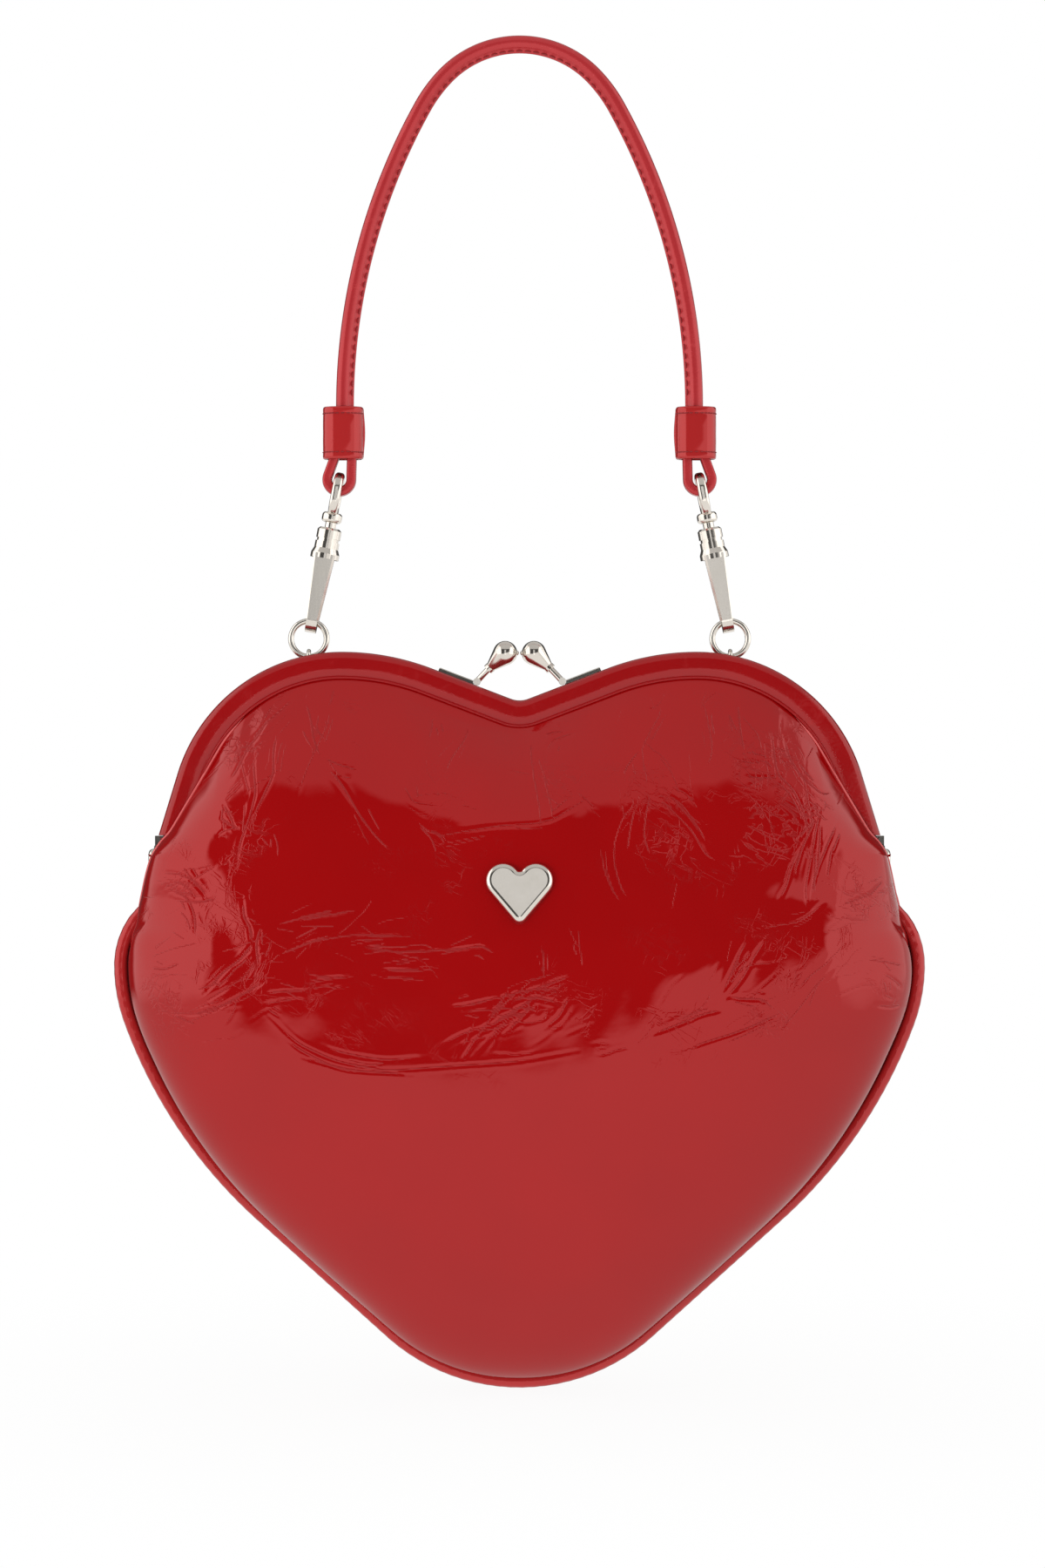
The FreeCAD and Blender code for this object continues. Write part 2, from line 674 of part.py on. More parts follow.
def frame_bar(ear_inside, ear_outside):
    """Front steel bar. The back bar is its mirror image with its ears one place further out."""
    block_foot = EAR_RADIUS + CLEAR
    block_top = COVER_END_HEIGHT - SEAT_GAP
    bar = band(crest, COVER_WALL, RIM_WIDTH - COVER_WALL, bar_front, bar_back)
    wide = hinge_x + OVERRUN
    bar = bar.cut(box(-wide, wide, bar_front - OVERRUN, bar_back + OVERRUN, -OVERRUN, block_foot))
    block_inside = crest.ends(RIM_WIDTH - COVER_WALL)[1].x - OVERRUN
    pieces = []
    disc = Part.makeCylinder(EAR_RADIUS, EAR_THICKNESS, Vector(ear_inside, 0, 0), Vector(1, 0, 0))
    neck = box(ear_inside, ear_outside, bar_front, bar_back, -EAR_RADIUS / 4, block_top)
    block = box(block_inside, ear_outside, bar_front, bar_back, block_foot, block_top)
    for piece in (disc, neck, block):
        pieces += [piece, flip(piece)]
    hole = rod(Vector(-wide, 0, 0), Vector(wide, 0, 0), RIVET_RADIUS + FIT)
    return one_solid(bar.fuse(pieces).cut(hole))


def frame_cover():
    """Front leather cover, hollow for the steel bar."""
    outside = band(crest, 0, RIM_WIDTH, rim_front, -PARTING)
    front_edges = [edge for edge in outside.Edges if long_edge_at(edge, rim_front)]
    outside = outside.makeFillet(COVER_FRONT_ROUND, front_edges)
    back_edges = [edge for edge in outside.Edges if long_edge_at(edge, -PARTING)]
    outside = outside.makeFillet(COVER_EDGE_ROUND, back_edges)
    near = COVER_WALL - FIT
    hollow = band(crest, near, RIM_WIDTH - near, bar_front - FIT, bar_back + FIT)
    wide = hinge_x + OVERRUN
    below = box(-wide, wide, rim_front - OVERRUN, OVERRUN, -2 * OVERRUN, COVER_END_HEIGHT)
    return one_solid(outside.cut(hollow).cut(below))


def long_edge_at(edge, y):
    """True for an edge along the frame that lies in the plane at y."""
    flat = all(abs(vertex.Point.y - y) < FIT for vertex in edge.Vertexes)
    across = edge.Length > VALLEY_RADIUS / 4 and abs(edge.CenterOfMass.y - y) < FIT
    end = edge.CenterOfMass.z < RIM_WIDTH / 2 and edge.Length < RIM_WIDTH + FIT
    return flat and across and not end


def frame_pieces():
    front_bar = frame_bar(front_ear_inside, front_ear_outside)
    back_bar = back(frame_bar(back_ear_inside, back_ear_outside))
    cover = frame_cover()
    back_cover = back(cover)
    front_pegs = clasp_pegs(-CLASP_FOOT_OFFSET, CLASP_PEG_RADIUS + FIT)
    back_pegs = [flip(peg) for peg in clasp_pegs(CLASP_FOOT_OFFSET, CLASP_PEG_RADIUS + FIT)]
    staple = ring_staple(STAPLE_WIRE_RADIUS + FIT)
    slot_half = RING_RADIUS + SLOT_END
    slot_foot = crest.height_at(RING_X + slot_half) - 2 * COVER_WALL
    slot_top = crest.height_at(RING_X - slot_half) + OVERRUN
    slot_y = (rim_middle - SLOT_SIDE, rim_middle + SLOT_SIDE)
    slot = box(RING_X - slot_half, RING_X + slot_half, slot_y[0], slot_y[1], slot_foot, slot_top)
    save("front_frame", one_solid(front_bar.cut(front_pegs)))
    save("front_frame_cover", one_solid(cover.cut(front_pegs)))
    save("back_frame", one_solid(back_bar.cut(back_pegs + [staple, flip(staple)])))
    save("back_frame_cover", one_solid(back_cover.cut(back_pegs + [slot, flip(slot)])))
    save_pair("ring_staple", ring_staple(STAPLE_WIRE_RADIUS))
    save_pair("strap_ring", ring(ring_centre, Vector(0, 1, 0), RING_RADIUS, RING_WIRE_RADIUS))
    save_pair("hinge_rivet", hinge_rivet())


def hinge_rivet():
    out = Vector(1, 0, 0)
    tail = Vector(front_ear_inside - FIT, 0, 0)
    head = Vector(back_ear_outside + FIT, 0, 0)
    pin = rod(tail, head, RIVET_RADIUS)
    dome = Part.makeCylinder(RIVET_HEAD_RADIUS, RIVET_HEAD_HEIGHT, head, out)
    rim = [edge for edge in dome.Edges if abs(edge.CenterOfMass.x - head.x - RIVET_HEAD_HEIGHT) < FIT]
    dome = dome.makeFillet(RIVET_HEAD_HEIGHT * 0.8, rim)
    peened = Part.makeCylinder(RIVET_TAIL_RADIUS, RIVET_TAIL_HEIGHT, tail, -out)
    return one_solid(pin.fuse([dome, peened]))


# Clasp: feet on the crest, sprung arms and teardrop knobs


def clasp_places(y):
    """Root, collar and knob centres of the right-hand clasp, standing at y on the crest."""
    toward = 1 if y < 0 else -1
    rest = CLASP_ROOT_RADIUS + SEAT_GAP
    root = Vector(CLASP_ROOT_X, y, crest.height_at(CLASP_ROOT_X) + rest)
    collar = Vector(CLASP_COLLAR_X, -toward * CLASP_COLLAR_OFFSET, root.z + CLASP_COLLAR_RISE)
    knob = Vector(KNOB_X, 0, collar.z + KNOB_RISE)
    return root, collar, knob


def clasp_foot(y):
    start, along = clasp_foot_frame()
    half = CLASP_FOOT_WIDTH / 2
    foot = box(-CLASP_FOOT_REACH, CLASP_FOOT_LENGTH, y - half, y + half, FIT, CLASP_FOOT_THICKNESS)
    rim = [edge for edge in foot.Edges if abs(edge.CenterOfMass.z - CLASP_FOOT_THICKNESS) < FIT]
    foot = foot.makeFillet(CLASP_FOOT_ROUND, rim)
    foot.rotate(Vector(0, 0, 0), Vector(0, 1, 0), -VALLEY_ANGLE)
    foot.translate(start)
    root = clasp_places(y)[0]
    side = Vector(0, CLASP_FOOT_WIDTH, 0)
    foot = foot.cut(rod(root - side, root + side, CLASP_ROOT_RADIUS + FIT))
    return one_solid(foot.fuse(clasp_pegs(y, CLASP_PEG_RADIUS)))


def clasp_arm(y):
    root, collar, knob = clasp_places(y)
    half = Vector(0, CLASP_FOOT_WIDTH / 2, 0)
    toward = (knob - collar).normalize()
    reach = toward * (CLASP_COLLAR_HEIGHT / 2)
    pieces = [
        rod(root, collar, CLASP_ARM_RADIUS),
        rod(collar - reach, collar + reach, CLASP_COLLAR_RADIUS),
    ]
    return one_solid(rod(root - half, root + half, CLASP_ROOT_RADIUS).fuse(pieces))


def clasp_knob(y):
    root, collar, knob = clasp_places(y)
    along = knob - collar
    sine = (KNOB_RADIUS - KNOB_NECK_RADIUS) / along.Length
    cosine = math.sqrt(1 - sine ** 2)
    axis = Vector(along).normalize()
    neck_end = collar - axis * (KNOB_NECK_RADIUS * sine)
    ball_end = knob - axis * (KNOB_RADIUS * sine)
    taper = (ball_end - neck_end).Length
    cone = Part.makeCone(KNOB_NECK_RADIUS * cosine, KNOB_RADIUS * cosine, taper, neck_end, axis)
    nub_end = Vector(NUB_GAP / 2 + NUB_RADIUS, 0, knob.z)
    pieces = [cone, rod(knob, nub_end, NUB_RADIUS), Part.makeSphere(NUB_RADIUS, nub_end)]
    ball = Part.makeSphere(KNOB_RADIUS, knob)
    whole = ball.fuse(pieces)
    return one_solid(whole.cut(clasp_arm(y)))


def clasp_pieces():
    front, rear = -CLASP_FOOT_OFFSET, CLASP_FOOT_OFFSET
    save("clasp_foot_right", clasp_foot(front))
    save("clasp_arm_right", clasp_arm(front))
    save("clasp_knob_right", clasp_knob(front))
    save("clasp_foot_left", flip(clasp_foot(rear)))
    save("clasp_arm_left", flip(clasp_arm(rear)))
    save("clasp_knob_left", flip(clasp_knob(rear)))


# Pouch: swelling sheets drawn on a grid of rows from the mouth to the tip


def smooth(share):
    share = min(max(share, 0), 1)
    return share * share * (3 - 2 * share)


def bulge_at(z):
    """How far the front of the pouch stands out at a height."""
    if z >= -BULGE_DROP:
        rise = (z + BULGE_DROP) / BULGE_DROP
        return BULGE * (1 - MOUTH_DROP_SHARE * rise ** 2)
    fall = min((-BULGE_DROP - z) / (-BULGE_DROP - panel_tip_z), 1)
    return BULGE * (1 - fall ** TIP_SWELL_POWER) ** TIP_ROUND_POWER


def seam_depth(z):
    """Distance of a panel's edge from the middle plane: closed on the piping, open round the hinge."""
    hinge_depth = PARTING + RIM_DEPTH + CLEAR
    opened = smooth((z + SEAM_OPENING_DROP) / SEAM_OPENING_DROP)
    return SEAM_GAP / 2 + (hinge_depth - SEAM_GAP / 2) * opened


def column_angles():
    return [-90 + 180 * column / (COLUMNS - 1) for column in range(COLUMNS)]


def level_row(half_width, z, inset, edge_depth):
    """One level section: a full oval half, inset from the outside."""
    row = []
    deep = bulge_at(z) - inset - edge_depth
    for angle in column_angles():
        across, out = math.sin(math.radians(angle)), max(math.cos(math.radians(angle)), 0)
        x = (half_width - inset) * math.copysign(abs(across) ** WIDTH_FULLNESS, across)
        row.append(Vector(x, -edge_depth - deep * out ** DEPTH_FULLNESS, z))
    return row


def outline_rows(tip_share):
    """Half widths and heights down the pouch's side, stopping at a share of the tip's arc."""
    places = []
    for index, placed in enumerate(outline.legs):
        last = tip_share if index == len(outline.legs) - 1 else 1
        for step in range(LOWER_ROWS_PER_LEG):
            share = last * step / LOWER_ROWS_PER_LEG
            point = outline.place(placed, share, panel_inset)[0]
            places.append((point.x, point.z))
    end = outline.place(outline.legs[-1], tip_share, panel_inset)[0]
    return places + [(end.x, end.z)]


def upper_rows(top_row, hinge_row):
    """Rows that swell from the frame's edge down to the hinge."""
    rows = []
    for step in range(UPPER_ROWS):
        share = 1 - step / UPPER_ROWS
        row = []
        for top, low in zip(top_row, hinge_row):
            point = low + (top - low) * share
            swell = math.cos(math.radians(90 * share))
            row.append(Vector(point.x, top.y + (low.y - top.y) * swell, point.z))
        rows.append(row)
    return rows


def panel_top(inset):
    """Panel's upper edge: under the cover in the middle, in front of the arms at the sides."""
    row = []
    tucked = rim_middle + PANEL_THICKNESS / 2 - inset
    flap = PARTING + RIM_DEPTH + CLEAR + PANEL_THICKNESS - inset
    reach = hinge_x - PANEL_HINGE_INSET - PANEL_THICKNESS
    start_z = crest.height_at(FLAP_START, RIM_WIDTH) + OVERRUN
    for angle in column_angles():
        x = reach * math.sin(math.radians(angle))
        if abs(x) < FLAP_START:
            z = crest.height_at(abs(x), RIM_WIDTH) + OVERRUN
        else:
            share = (abs(x) - FLAP_START) / (reach - FLAP_START)
            z = start_z + (FLAP_END_HEIGHT - start_z) * share
        forward = smooth((abs(x) - FLAP_EMERGES) / (FLAP_START - FLAP_EMERGES))
        row.append(Vector(x, -tucked - (flap - tucked) * forward, z))
    return row


def panel_grid(inset):
    hinge_width = hinge_x - PANEL_HINGE_INSET
    sides = outline_rows(PANEL_TIP_SHARE)
    first_x, first_z = sides[0]
    rows = [level_row(hinge_width, 0, inset, seam_depth(0))]
    for share in (1 / 3, 2 / 3):
        z = first_z * share
        rows.append(level_row(hinge_width + (first_x - hinge_width) * share, z, inset, seam_depth(z)))
    for x, z in sides:
        rows.append(level_row(x, z, inset, seam_depth(z)))
    return upper_rows(panel_top(inset), rows[0]) + rows


def lining_grid(inset):
    hinge_width = hinge_x - LINING_HINGE_INSET
    sides = outline_rows(INNER_TIP_SHARE)
    first_x, first_z = sides[0]
    rows = [level_row(hinge_width, 0, inset, SEAM_GAP / 2)]
    for share in (1 / 3, 2 / 3):
        width = hinge_width + (first_x - hinge_width) * share
        rows.append(level_row(width, first_z * share, inset, SEAM_GAP / 2))
    for x, z in sides:
        rows.append(level_row(x, z, inset, SEAM_GAP / 2))
    top = []
    first = PANEL_THICKNESS + STIFFENER_THICKNESS
    back_from_panel = rim_middle - PANEL_THICKNESS / 2 + first - inset
    for angle in column_angles():
        x = (hinge_width - inset) * math.sin(math.radians(angle))
        z = max(crest.height_at(abs(x), RIM_WIDTH + LINING_TOP_GAP), FLAP_END_HEIGHT)
        top.append(Vector(x, -back_from_panel, z))
    return upper_rows(top, rows[0]) + rows


def stiffener_grid(inset):
    rows = []
    for x, z in outline_rows(INNER_TIP_SHARE):
        rows.append(level_row(x, z, inset, SEAM_GAP / 2))
    return rows


def grid_face(grid):
    surface = Part.BSplineSurface()
    surface.interpolate(grid)
    return surface


def sheet(outer_grid, inner_grid):
    """Closed sheet between two grids of the same size."""
    outer = grid_face(outer_grid)
    inner = grid_face(inner_grid)
    faces = [outer.toShape(), inner.toShape()]
    u0, u1, v0, v1 = outer.bounds()
    for outer_edge, inner_edge in (
        (outer.uIso(u0), inner.uIso(u0)),
        (outer.uIso(u1), inner.uIso(u1)),
        (outer.vIso(v0), inner.vIso(v0)),
        (outer.vIso(v1), inner.vIso(v1)),
    ):
        faces.append(Part.makeRuledSurface(outer_edge.toShape(), inner_edge.toShape()))
    shell = Part.makeShell(faces)
    shell.sewShape()
    solid = Part.makeSolid(shell)
    if solid.Volume < 0:
        solid.reverse()
    return solid


def above_frame_edge(y0, gap):
    """Everything outside the frame's inner edge, from y0 to the middle plane."""
    depth = RIM_WIDTH + gap
    end = crest.ends(depth)[1]
    far_x = POUCH_HALF_WIDTH + OVERRUN
    high_z = crest.height_at(LOBE_RADIUS) + BULGE
    corner = Vector(far_x, 0, end.z)
    roof = Vector(far_x, 0, high_z)
    edges = crest.edges(depth) + [line(end, corner), line(corner, roof), line(roof, Vector(0, 0, high_z))]
    face = Part.Face(both_sides(edges))
    face.translate(Vector(0, y0, 0))
    return face.extrude(span(y0, 0))


def stud_frame():
    """Middle of the stud on the panel's outside, and the panel's lean there."""
    step = CLEAR
    z = -STUD_DROP
    slope = (bulge_at(z + step) - bulge_at(z - step)) / (2 * step)
    return Vector(0, -bulge_at(z), z), math.degrees(math.atan(slope))


def on_panel(shape):
    """Place a piece drawn with its back on y = 0 on the panel at the stud."""
    middle, lean = stud_frame()
    placed = shape.copy()
    placed.rotate(Vector(0, 0, 0), Vector(1, 0, 0), lean)
    placed.translate(middle)
    return placed


def stud_posts(radius, y0, y1):
    posts = []
    for x in (-STUD_POST_SPACING / 2, STUD_POST_SPACING / 2):
        posts.append(rod(Vector(x, y0, 0), Vector(x, y1, 0), radius))
    return posts


def middle_edge(shape, above):
    """Edge across the stud's thickness at its cleft, or at its point."""
    side = 1 if above else -1
    for edge in shape.Edges:
        centre = edge.CenterOfMass
        if abs(centre.x) < FIT and side * centre.z > 0 and len(edge.Vertexes) == 2:
            if abs(edge.Vertexes[0].Point.x - edge.Vertexes[1].Point.x) < FIT:
                return edge


def heart_stud():
    turn = STUD_CLEFT_ANGLE + 180 - STUD_FLANK_ANGLE
    legs = [("right", STUD_LOBE_RADIUS, turn)]
    lobe = Chain(Vector(0, 0, STUD_CLEFT_RISE), STUD_CLEFT_ANGLE, legs)
    legs.append(("run", lobe.end.x / math.cos(math.radians(STUD_FLANK_ANGLE))))
    half = Chain(Vector(0, 0, STUD_CLEFT_RISE), STUD_CLEFT_ANGLE, legs)
    face = Part.Face(both_sides(half.edges()))
    face.translate(Vector(0, -STUD_LIFT, 0))
    heart = face.extrude(Vector(0, -STUD_THICKNESS, 0))
    heart = heart.makeFillet(STUD_POINT_ROUND, [middle_edge(heart, False)])
    heart = heart.makeFillet(STUD_CLEFT_ROUND, [middle_edge(heart, True)])
    front_y = -STUD_LIFT - STUD_THICKNESS
    rim = [edge for edge in heart.Edges if abs(edge.CenterOfMass.y - front_y) < FIT]
    heart = heart.makeFillet(STUD_ROUND, rim)
    post_end = PANEL_THICKNESS + FIT + STUD_PLATE_THICKNESS / 2
    return one_solid(heart.fuse(stud_posts(STUD_POST_RADIUS, -STUD_LIFT - STUD_ROUND, post_end)))


def stud_backing():
    half = STUD_PLATE_LENGTH / 2
    tall = STUD_PLATE_HEIGHT / 2
    near = PANEL_THICKNESS + STUD_LIFT
    plate = box(-half, half, near, near + STUD_PLATE_THICKNESS, -tall, tall)
    holes = stud_posts(STUD_POST_RADIUS + FIT, 0, near + OVERRUN)
    return one_solid(plate.cut(holes))


def pouch_pieces():
    rim_clear = rim_front - CLEAR / 2
    panel = sheet(panel_grid(0), panel_grid(PANEL_THICKNESS))
    panel = one_solid(panel.cut(above_frame_edge(rim_clear, CLEAR)))
    post_room = [on_panel(post) for post in stud_posts(STUD_POST_RADIUS + FIT, -OVERRUN, 2 * OVERRUN)]
    save("front_panel", one_solid(panel.cut(post_room)))
    save("back_panel", back(panel))
    first = PANEL_THICKNESS + SHEET_GAP
    second = first + STIFFENER_THICKNESS
    stiffener = sheet(stiffener_grid(first), stiffener_grid(second))
    save("front_stiffener", stiffener)
    save("back_stiffener", back(stiffener))
    third = second + SHEET_GAP
    lining = sheet(lining_grid(third), lining_grid(third + LINING_THICKNESS))
    save("front_lining", lining)
    save("back_lining", back(lining))
    half = PIPING_FLANGE_THICKNESS / 2
    flange = band(outline, PIPING_RADIUS, 2 * PIPING_RADIUS + PIPING_FLANGE, -half, half)
    save("piping", one_solid(tube(outline, PIPING_RADIUS, PIPING_RADIUS).fuse(flange)))
    save("heart_stud", on_panel(heart_stud()))
    save("stud_backing", on_panel(stud_backing()))


def hook_pieces():
    save_on_hooks("hook_body", hook_body())
    save_on_hooks("gate_pin", gate_pin(GATE_PIN_RADIUS))
    save_on_hooks("gate", gate())
    save_on_hooks("gate_spring", gate_spring())
    save_on_hooks("swivel_eye", swivel_eye())


def print_places():
    """Places that the joints turn about, in the crown's frame."""
    pivot = gate_pivot()
    tilt = math.radians(hook_tilt)
    gate_at = ring_contact + hook_up * pivot.z + Vector(0, pivot.y, 0)
    root, collar, knob = clasp_places(-CLASP_FOOT_OFFSET)
    places = {
        "hinge": Vector(0, 0, 0),
        "ring foot": Vector(RING_X, rim_middle, ring_foot_z),
        "ring contact": ring_contact,
        "loop pivot": loop_pivot,
        "gate pivot": gate_at,
        "clasp root": root,
        "keeper foot": keeper_foot,
        "tip": outline.end,
    }
    for name, place in places.items():
        moved = place - origin
        print(name, round(moved.x, 3), round(moved.y, 3), round(moved.z, 3))
    print("hook tilt", round(hook_tilt, 3), "up", round(-math.sin(tilt), 5), round(math.cos(tilt), 5))


def main():
    os.makedirs("parts", exist_ok=True)
    print_places()
    handle_pieces()
    save_pair("loop_tab", loop_tab())
    save_pair("keeper", keeper())
    hook_pieces()
    frame_pieces()
    clasp_pieces()
    pouch_pieces()


main()
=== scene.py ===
# %% [markdown]
# Heart-shaped frame purse. A soft heart of red patent leather hangs from a hinged metal frame, and a rolled
# handle is held by two snap hooks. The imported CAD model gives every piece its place, so it is loaded first
# and never changed. Leather, cloth and thread are modelled over it, because a CAD solid shows no creases or
# stitches. The metal pieces keep their CAD shapes and only get a finish.

# %% Load the frame
import json
import math
import random
import bpy
import numpy as np
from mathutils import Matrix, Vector


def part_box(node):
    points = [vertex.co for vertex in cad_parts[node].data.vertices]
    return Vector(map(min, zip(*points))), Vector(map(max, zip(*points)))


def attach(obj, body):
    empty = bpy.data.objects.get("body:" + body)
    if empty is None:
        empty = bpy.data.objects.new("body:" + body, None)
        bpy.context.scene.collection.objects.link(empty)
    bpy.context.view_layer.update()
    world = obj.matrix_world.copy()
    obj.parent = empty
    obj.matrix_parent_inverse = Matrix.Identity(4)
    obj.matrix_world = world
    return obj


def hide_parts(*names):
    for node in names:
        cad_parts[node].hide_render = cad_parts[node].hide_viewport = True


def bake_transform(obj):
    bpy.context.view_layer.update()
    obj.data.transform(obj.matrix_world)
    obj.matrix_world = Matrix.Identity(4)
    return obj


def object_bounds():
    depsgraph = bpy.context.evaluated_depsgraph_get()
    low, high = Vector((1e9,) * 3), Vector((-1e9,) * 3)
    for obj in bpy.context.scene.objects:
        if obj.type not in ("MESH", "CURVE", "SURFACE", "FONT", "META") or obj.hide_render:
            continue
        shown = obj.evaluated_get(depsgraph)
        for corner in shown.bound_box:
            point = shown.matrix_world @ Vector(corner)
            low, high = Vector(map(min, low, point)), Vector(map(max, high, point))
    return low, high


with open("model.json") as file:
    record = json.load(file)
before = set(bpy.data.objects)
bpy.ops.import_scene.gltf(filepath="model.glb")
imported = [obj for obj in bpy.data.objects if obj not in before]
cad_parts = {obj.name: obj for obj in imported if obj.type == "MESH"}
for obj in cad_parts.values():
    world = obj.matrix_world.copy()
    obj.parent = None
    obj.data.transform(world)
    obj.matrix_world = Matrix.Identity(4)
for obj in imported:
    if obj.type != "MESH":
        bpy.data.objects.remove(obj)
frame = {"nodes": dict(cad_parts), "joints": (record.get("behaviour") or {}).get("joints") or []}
cad_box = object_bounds()
nodes = frame["nodes"]
joints = {joint["name"]: joint for joint in frame["joints"]}
scene = bpy.context.scene

# %% [markdown]
# Measures. The tables are millimetres about the hinge: x along the hinge, y = 0 on the plane where the two
# halves of the frame meet, z up. Blender works in metres in the CAD model's frame, so one function turns the
# one into the other whenever a mesh is made. Working in millimetres keeps the numbers close to a maker's.
# What was measured in the photograph is in its pixels: PIXEL is the size of one, and PIXEL_X and PIXEL_Y are
# the place of the hinge.

# %% Measures
MM = 0.001
HINGE = np.array(joints["frame_open"]["pos_m"]) / MM
RIM_WIDTH, RIM_DEPTH, PARTING = 7.4, 6.0, 0.1
STRAP_PLANE = PARTING + RIM_DEPTH / 2
PIPING_RADIUS = 1.9
PANEL_INSET = 2 * PIPING_RADIUS + 0.3
SIDES = ((-1, "left"), (1, "right"))
POUCH_WIDTH, POUCH_PIXELS = 220, 931
PIXEL = POUCH_WIDTH / POUCH_PIXELS
PIXEL_X, PIXEL_Y = 596.6, 985
PHOTO_WIDTH, PHOTO_HEIGHT = 1200, 1800


def row(points):
    """Hinge millimetres to the row's metres."""
    return (np.asarray(points, float) + HINGE) * MM


def hinge_mm(place):
    """A point in the row's metres to hinge millimetres."""
    return np.array(place) / MM - HINGE


def ramp(value, start, span):
    """0 up to the start and 1 beyond the span, with a soft rise between."""
    share = np.clip((value - start) / span, 0, 1)
    return share * share * (3 - 2 * share)


print("hinge at", HINGE.round(2), "mm in the row")

# %% [markdown]
# Lines of the purse. The frame's crest and the pouch's outline are chains of straight runs and arcs that
# flow into each other, as a pattern cutter draws them with a compass. A Bezier curve could follow them too,
# but a chain keeps the same radii as the CAD model, so cover and bar stay nested.

# %% Lines of the purse
CREST_LEGS = [("left", 6.5, 21), ("run", 22.88), ("right", 68, 21), ("right", 46.5, 73), ("run", 24)]
HIP_RADIUS, HIP_ANGLE = 23, 37
HIP_CENTRE = (POUCH_WIDTH / 2 - HIP_RADIUS, -29.1)
HIP_START = (
    HIP_CENTRE[0] + HIP_RADIUS * math.cos(math.radians(HIP_ANGLE)),
    HIP_CENTRE[1] + HIP_RADIUS * math.sin(math.radians(HIP_ANGLE)),
)
HIP_HEADING = HIP_ANGLE - 90
OUTLINE_UPPER = [("right", HIP_RADIUS, HIP_ANGLE), ("right", 46, 20), ("right", 133, 28)]
TIP_RADIUS, TIP_ANGLE = 54, 42
TURNS = {"run": 0, "right": -1, "left": 1}
CREST_STEP = 0.5


def leg_length(leg):
    """Length of a straight run, or of an arc of a radius and an angle."""
    return leg[1] * math.radians(leg[2]) if TURNS[leg[0]] else leg[1]


def walk(start, heading, legs, step=0.6):
    """Points and right-hand normals along tangent runs and arcs in the x-z plane."""
    x, z = start
    points, headings = [(x, z)], [heading]
    for leg in legs:
        length = leg_length(leg)
        count = max(3, math.ceil(length / step))
        turn = TURNS[leg[0]] * leg[-1] / count
        for _ in range(count):
            middle = math.radians(heading + turn / 2)
            x += length / count * math.cos(middle)
            z += length / count * math.sin(middle)
            heading += turn
            points.append((x, z))
            headings.append(heading)
    headings = np.radians(headings)
    return np.array(points), np.column_stack([np.sin(headings), -np.cos(headings)])


def mirrored(points, normals, joined_at_start):
    """A half path and its mirror image as one path from left to right."""
    flip = np.array([-1, 1])
    if joined_at_start:
        return [np.vstack([half[:0:-1] * flip, half]) for half in (points, normals)]
    return [np.vstack([half * flip, half[-2::-1]]) for half in (points, normals)]


def lengths_along(line):
    """Distance of each point of a line from its start."""
    return np.concatenate([[0], np.cumsum(np.linalg.norm(np.diff(line, axis=0), axis=1))])


def read_off(rows, at, wanted):
    """Rows that are known at some distances, read off at the wanted ones."""
    return np.column_stack([np.interp(wanted, at, column) for column in np.transpose(rows)])


def unit_ways(line):
    """Directions along a line."""
    ways = np.gradient(line, axis=0)
    return ways / np.linalg.norm(ways, axis=1)[:, None]


def soften(line, passes):
    """Rounds the corners of a line between its ends."""
    for _ in range(passes):
        line[1:-1] = (line[:-2] + 2 * line[1:-1] + line[2:]) / 4


crest, crest_normals = walk((0, 0), 0, CREST_LEGS, CREST_STEP)
crest[:, 1] -= crest[-1, 1]
hinge_x = crest[-1, 0]
flank_end = walk(HIP_START, HIP_HEADING, OUTLINE_UPPER)[0][-1]
tip_run = flank_end[0] - TIP_RADIUS * math.sin(math.radians(TIP_ANGLE))
tip_run /= math.cos(math.radians(TIP_ANGLE))
OUTLINE_LEGS = OUTLINE_UPPER + [("run", tip_run), ("right", TIP_RADIUS, TIP_ANGLE)]
outline, outline_normals = walk(HIP_START, HIP_HEADING, OUTLINE_LEGS)
panel_line = outline + outline_normals * PANEL_INSET
panel_tip_z = panel_line[-1, 1]
print("hinge at x", round(hinge_x, 2), "tip at z", round(outline[-1, 1], 2))

# %% [markdown]
# Camera. The purse was photographed straight from the front with a long lens. The distance follows from the
# picture's height in millimetres, so a pixel of the photograph and a pixel of the render mean the same.

# %% Camera
LENS, SENSOR = 100, 36

camera_data = bpy.data.cameras.new("camera")
camera = bpy.data.objects.new("camera", camera_data)
scene.collection.objects.link(camera)
scene.camera = camera
camera_data.lens = LENS
camera_data.sensor_width = SENSOR
camera_data.dof.use_dof = False
distance = LENS / SENSOR * PHOTO_HEIGHT * PIXEL * MM
middle = row([(PHOTO_WIDTH / 2 - PIXEL_X) * PIXEL, 0, (PIXEL_Y - PHOTO_HEIGHT / 2) * PIXEL])
camera.location = (middle[0], middle[1] - distance, middle[2])
camera.rotation_euler = (math.pi / 2, 0, 0)
scene.view_settings.view_transform = "Standard"
scene.view_settings.look = "None"
print("camera", [round(v, 3) for v in camera.location])

# %% [markdown]
# Node helpers. Shader trees are built by code, so one function makes a node, sets its inputs and links them.
# The others give the sums, soft steps and noises that nearly every effect here is made of.

# %% Node helpers
def add(tree, kind, inputs=None, **settings):
    """A node with its settings, and its inputs set or linked."""
    node = tree.nodes.new(kind)
    for name, value in settings.items():
        setattr(node, name, value)
    for name, value in (inputs or {}).items():
        if isinstance(value, bpy.types.NodeSocket):
            tree.links.new(value, node.inputs[name])
        else:
            node.inputs[name].default_value = value
    return node


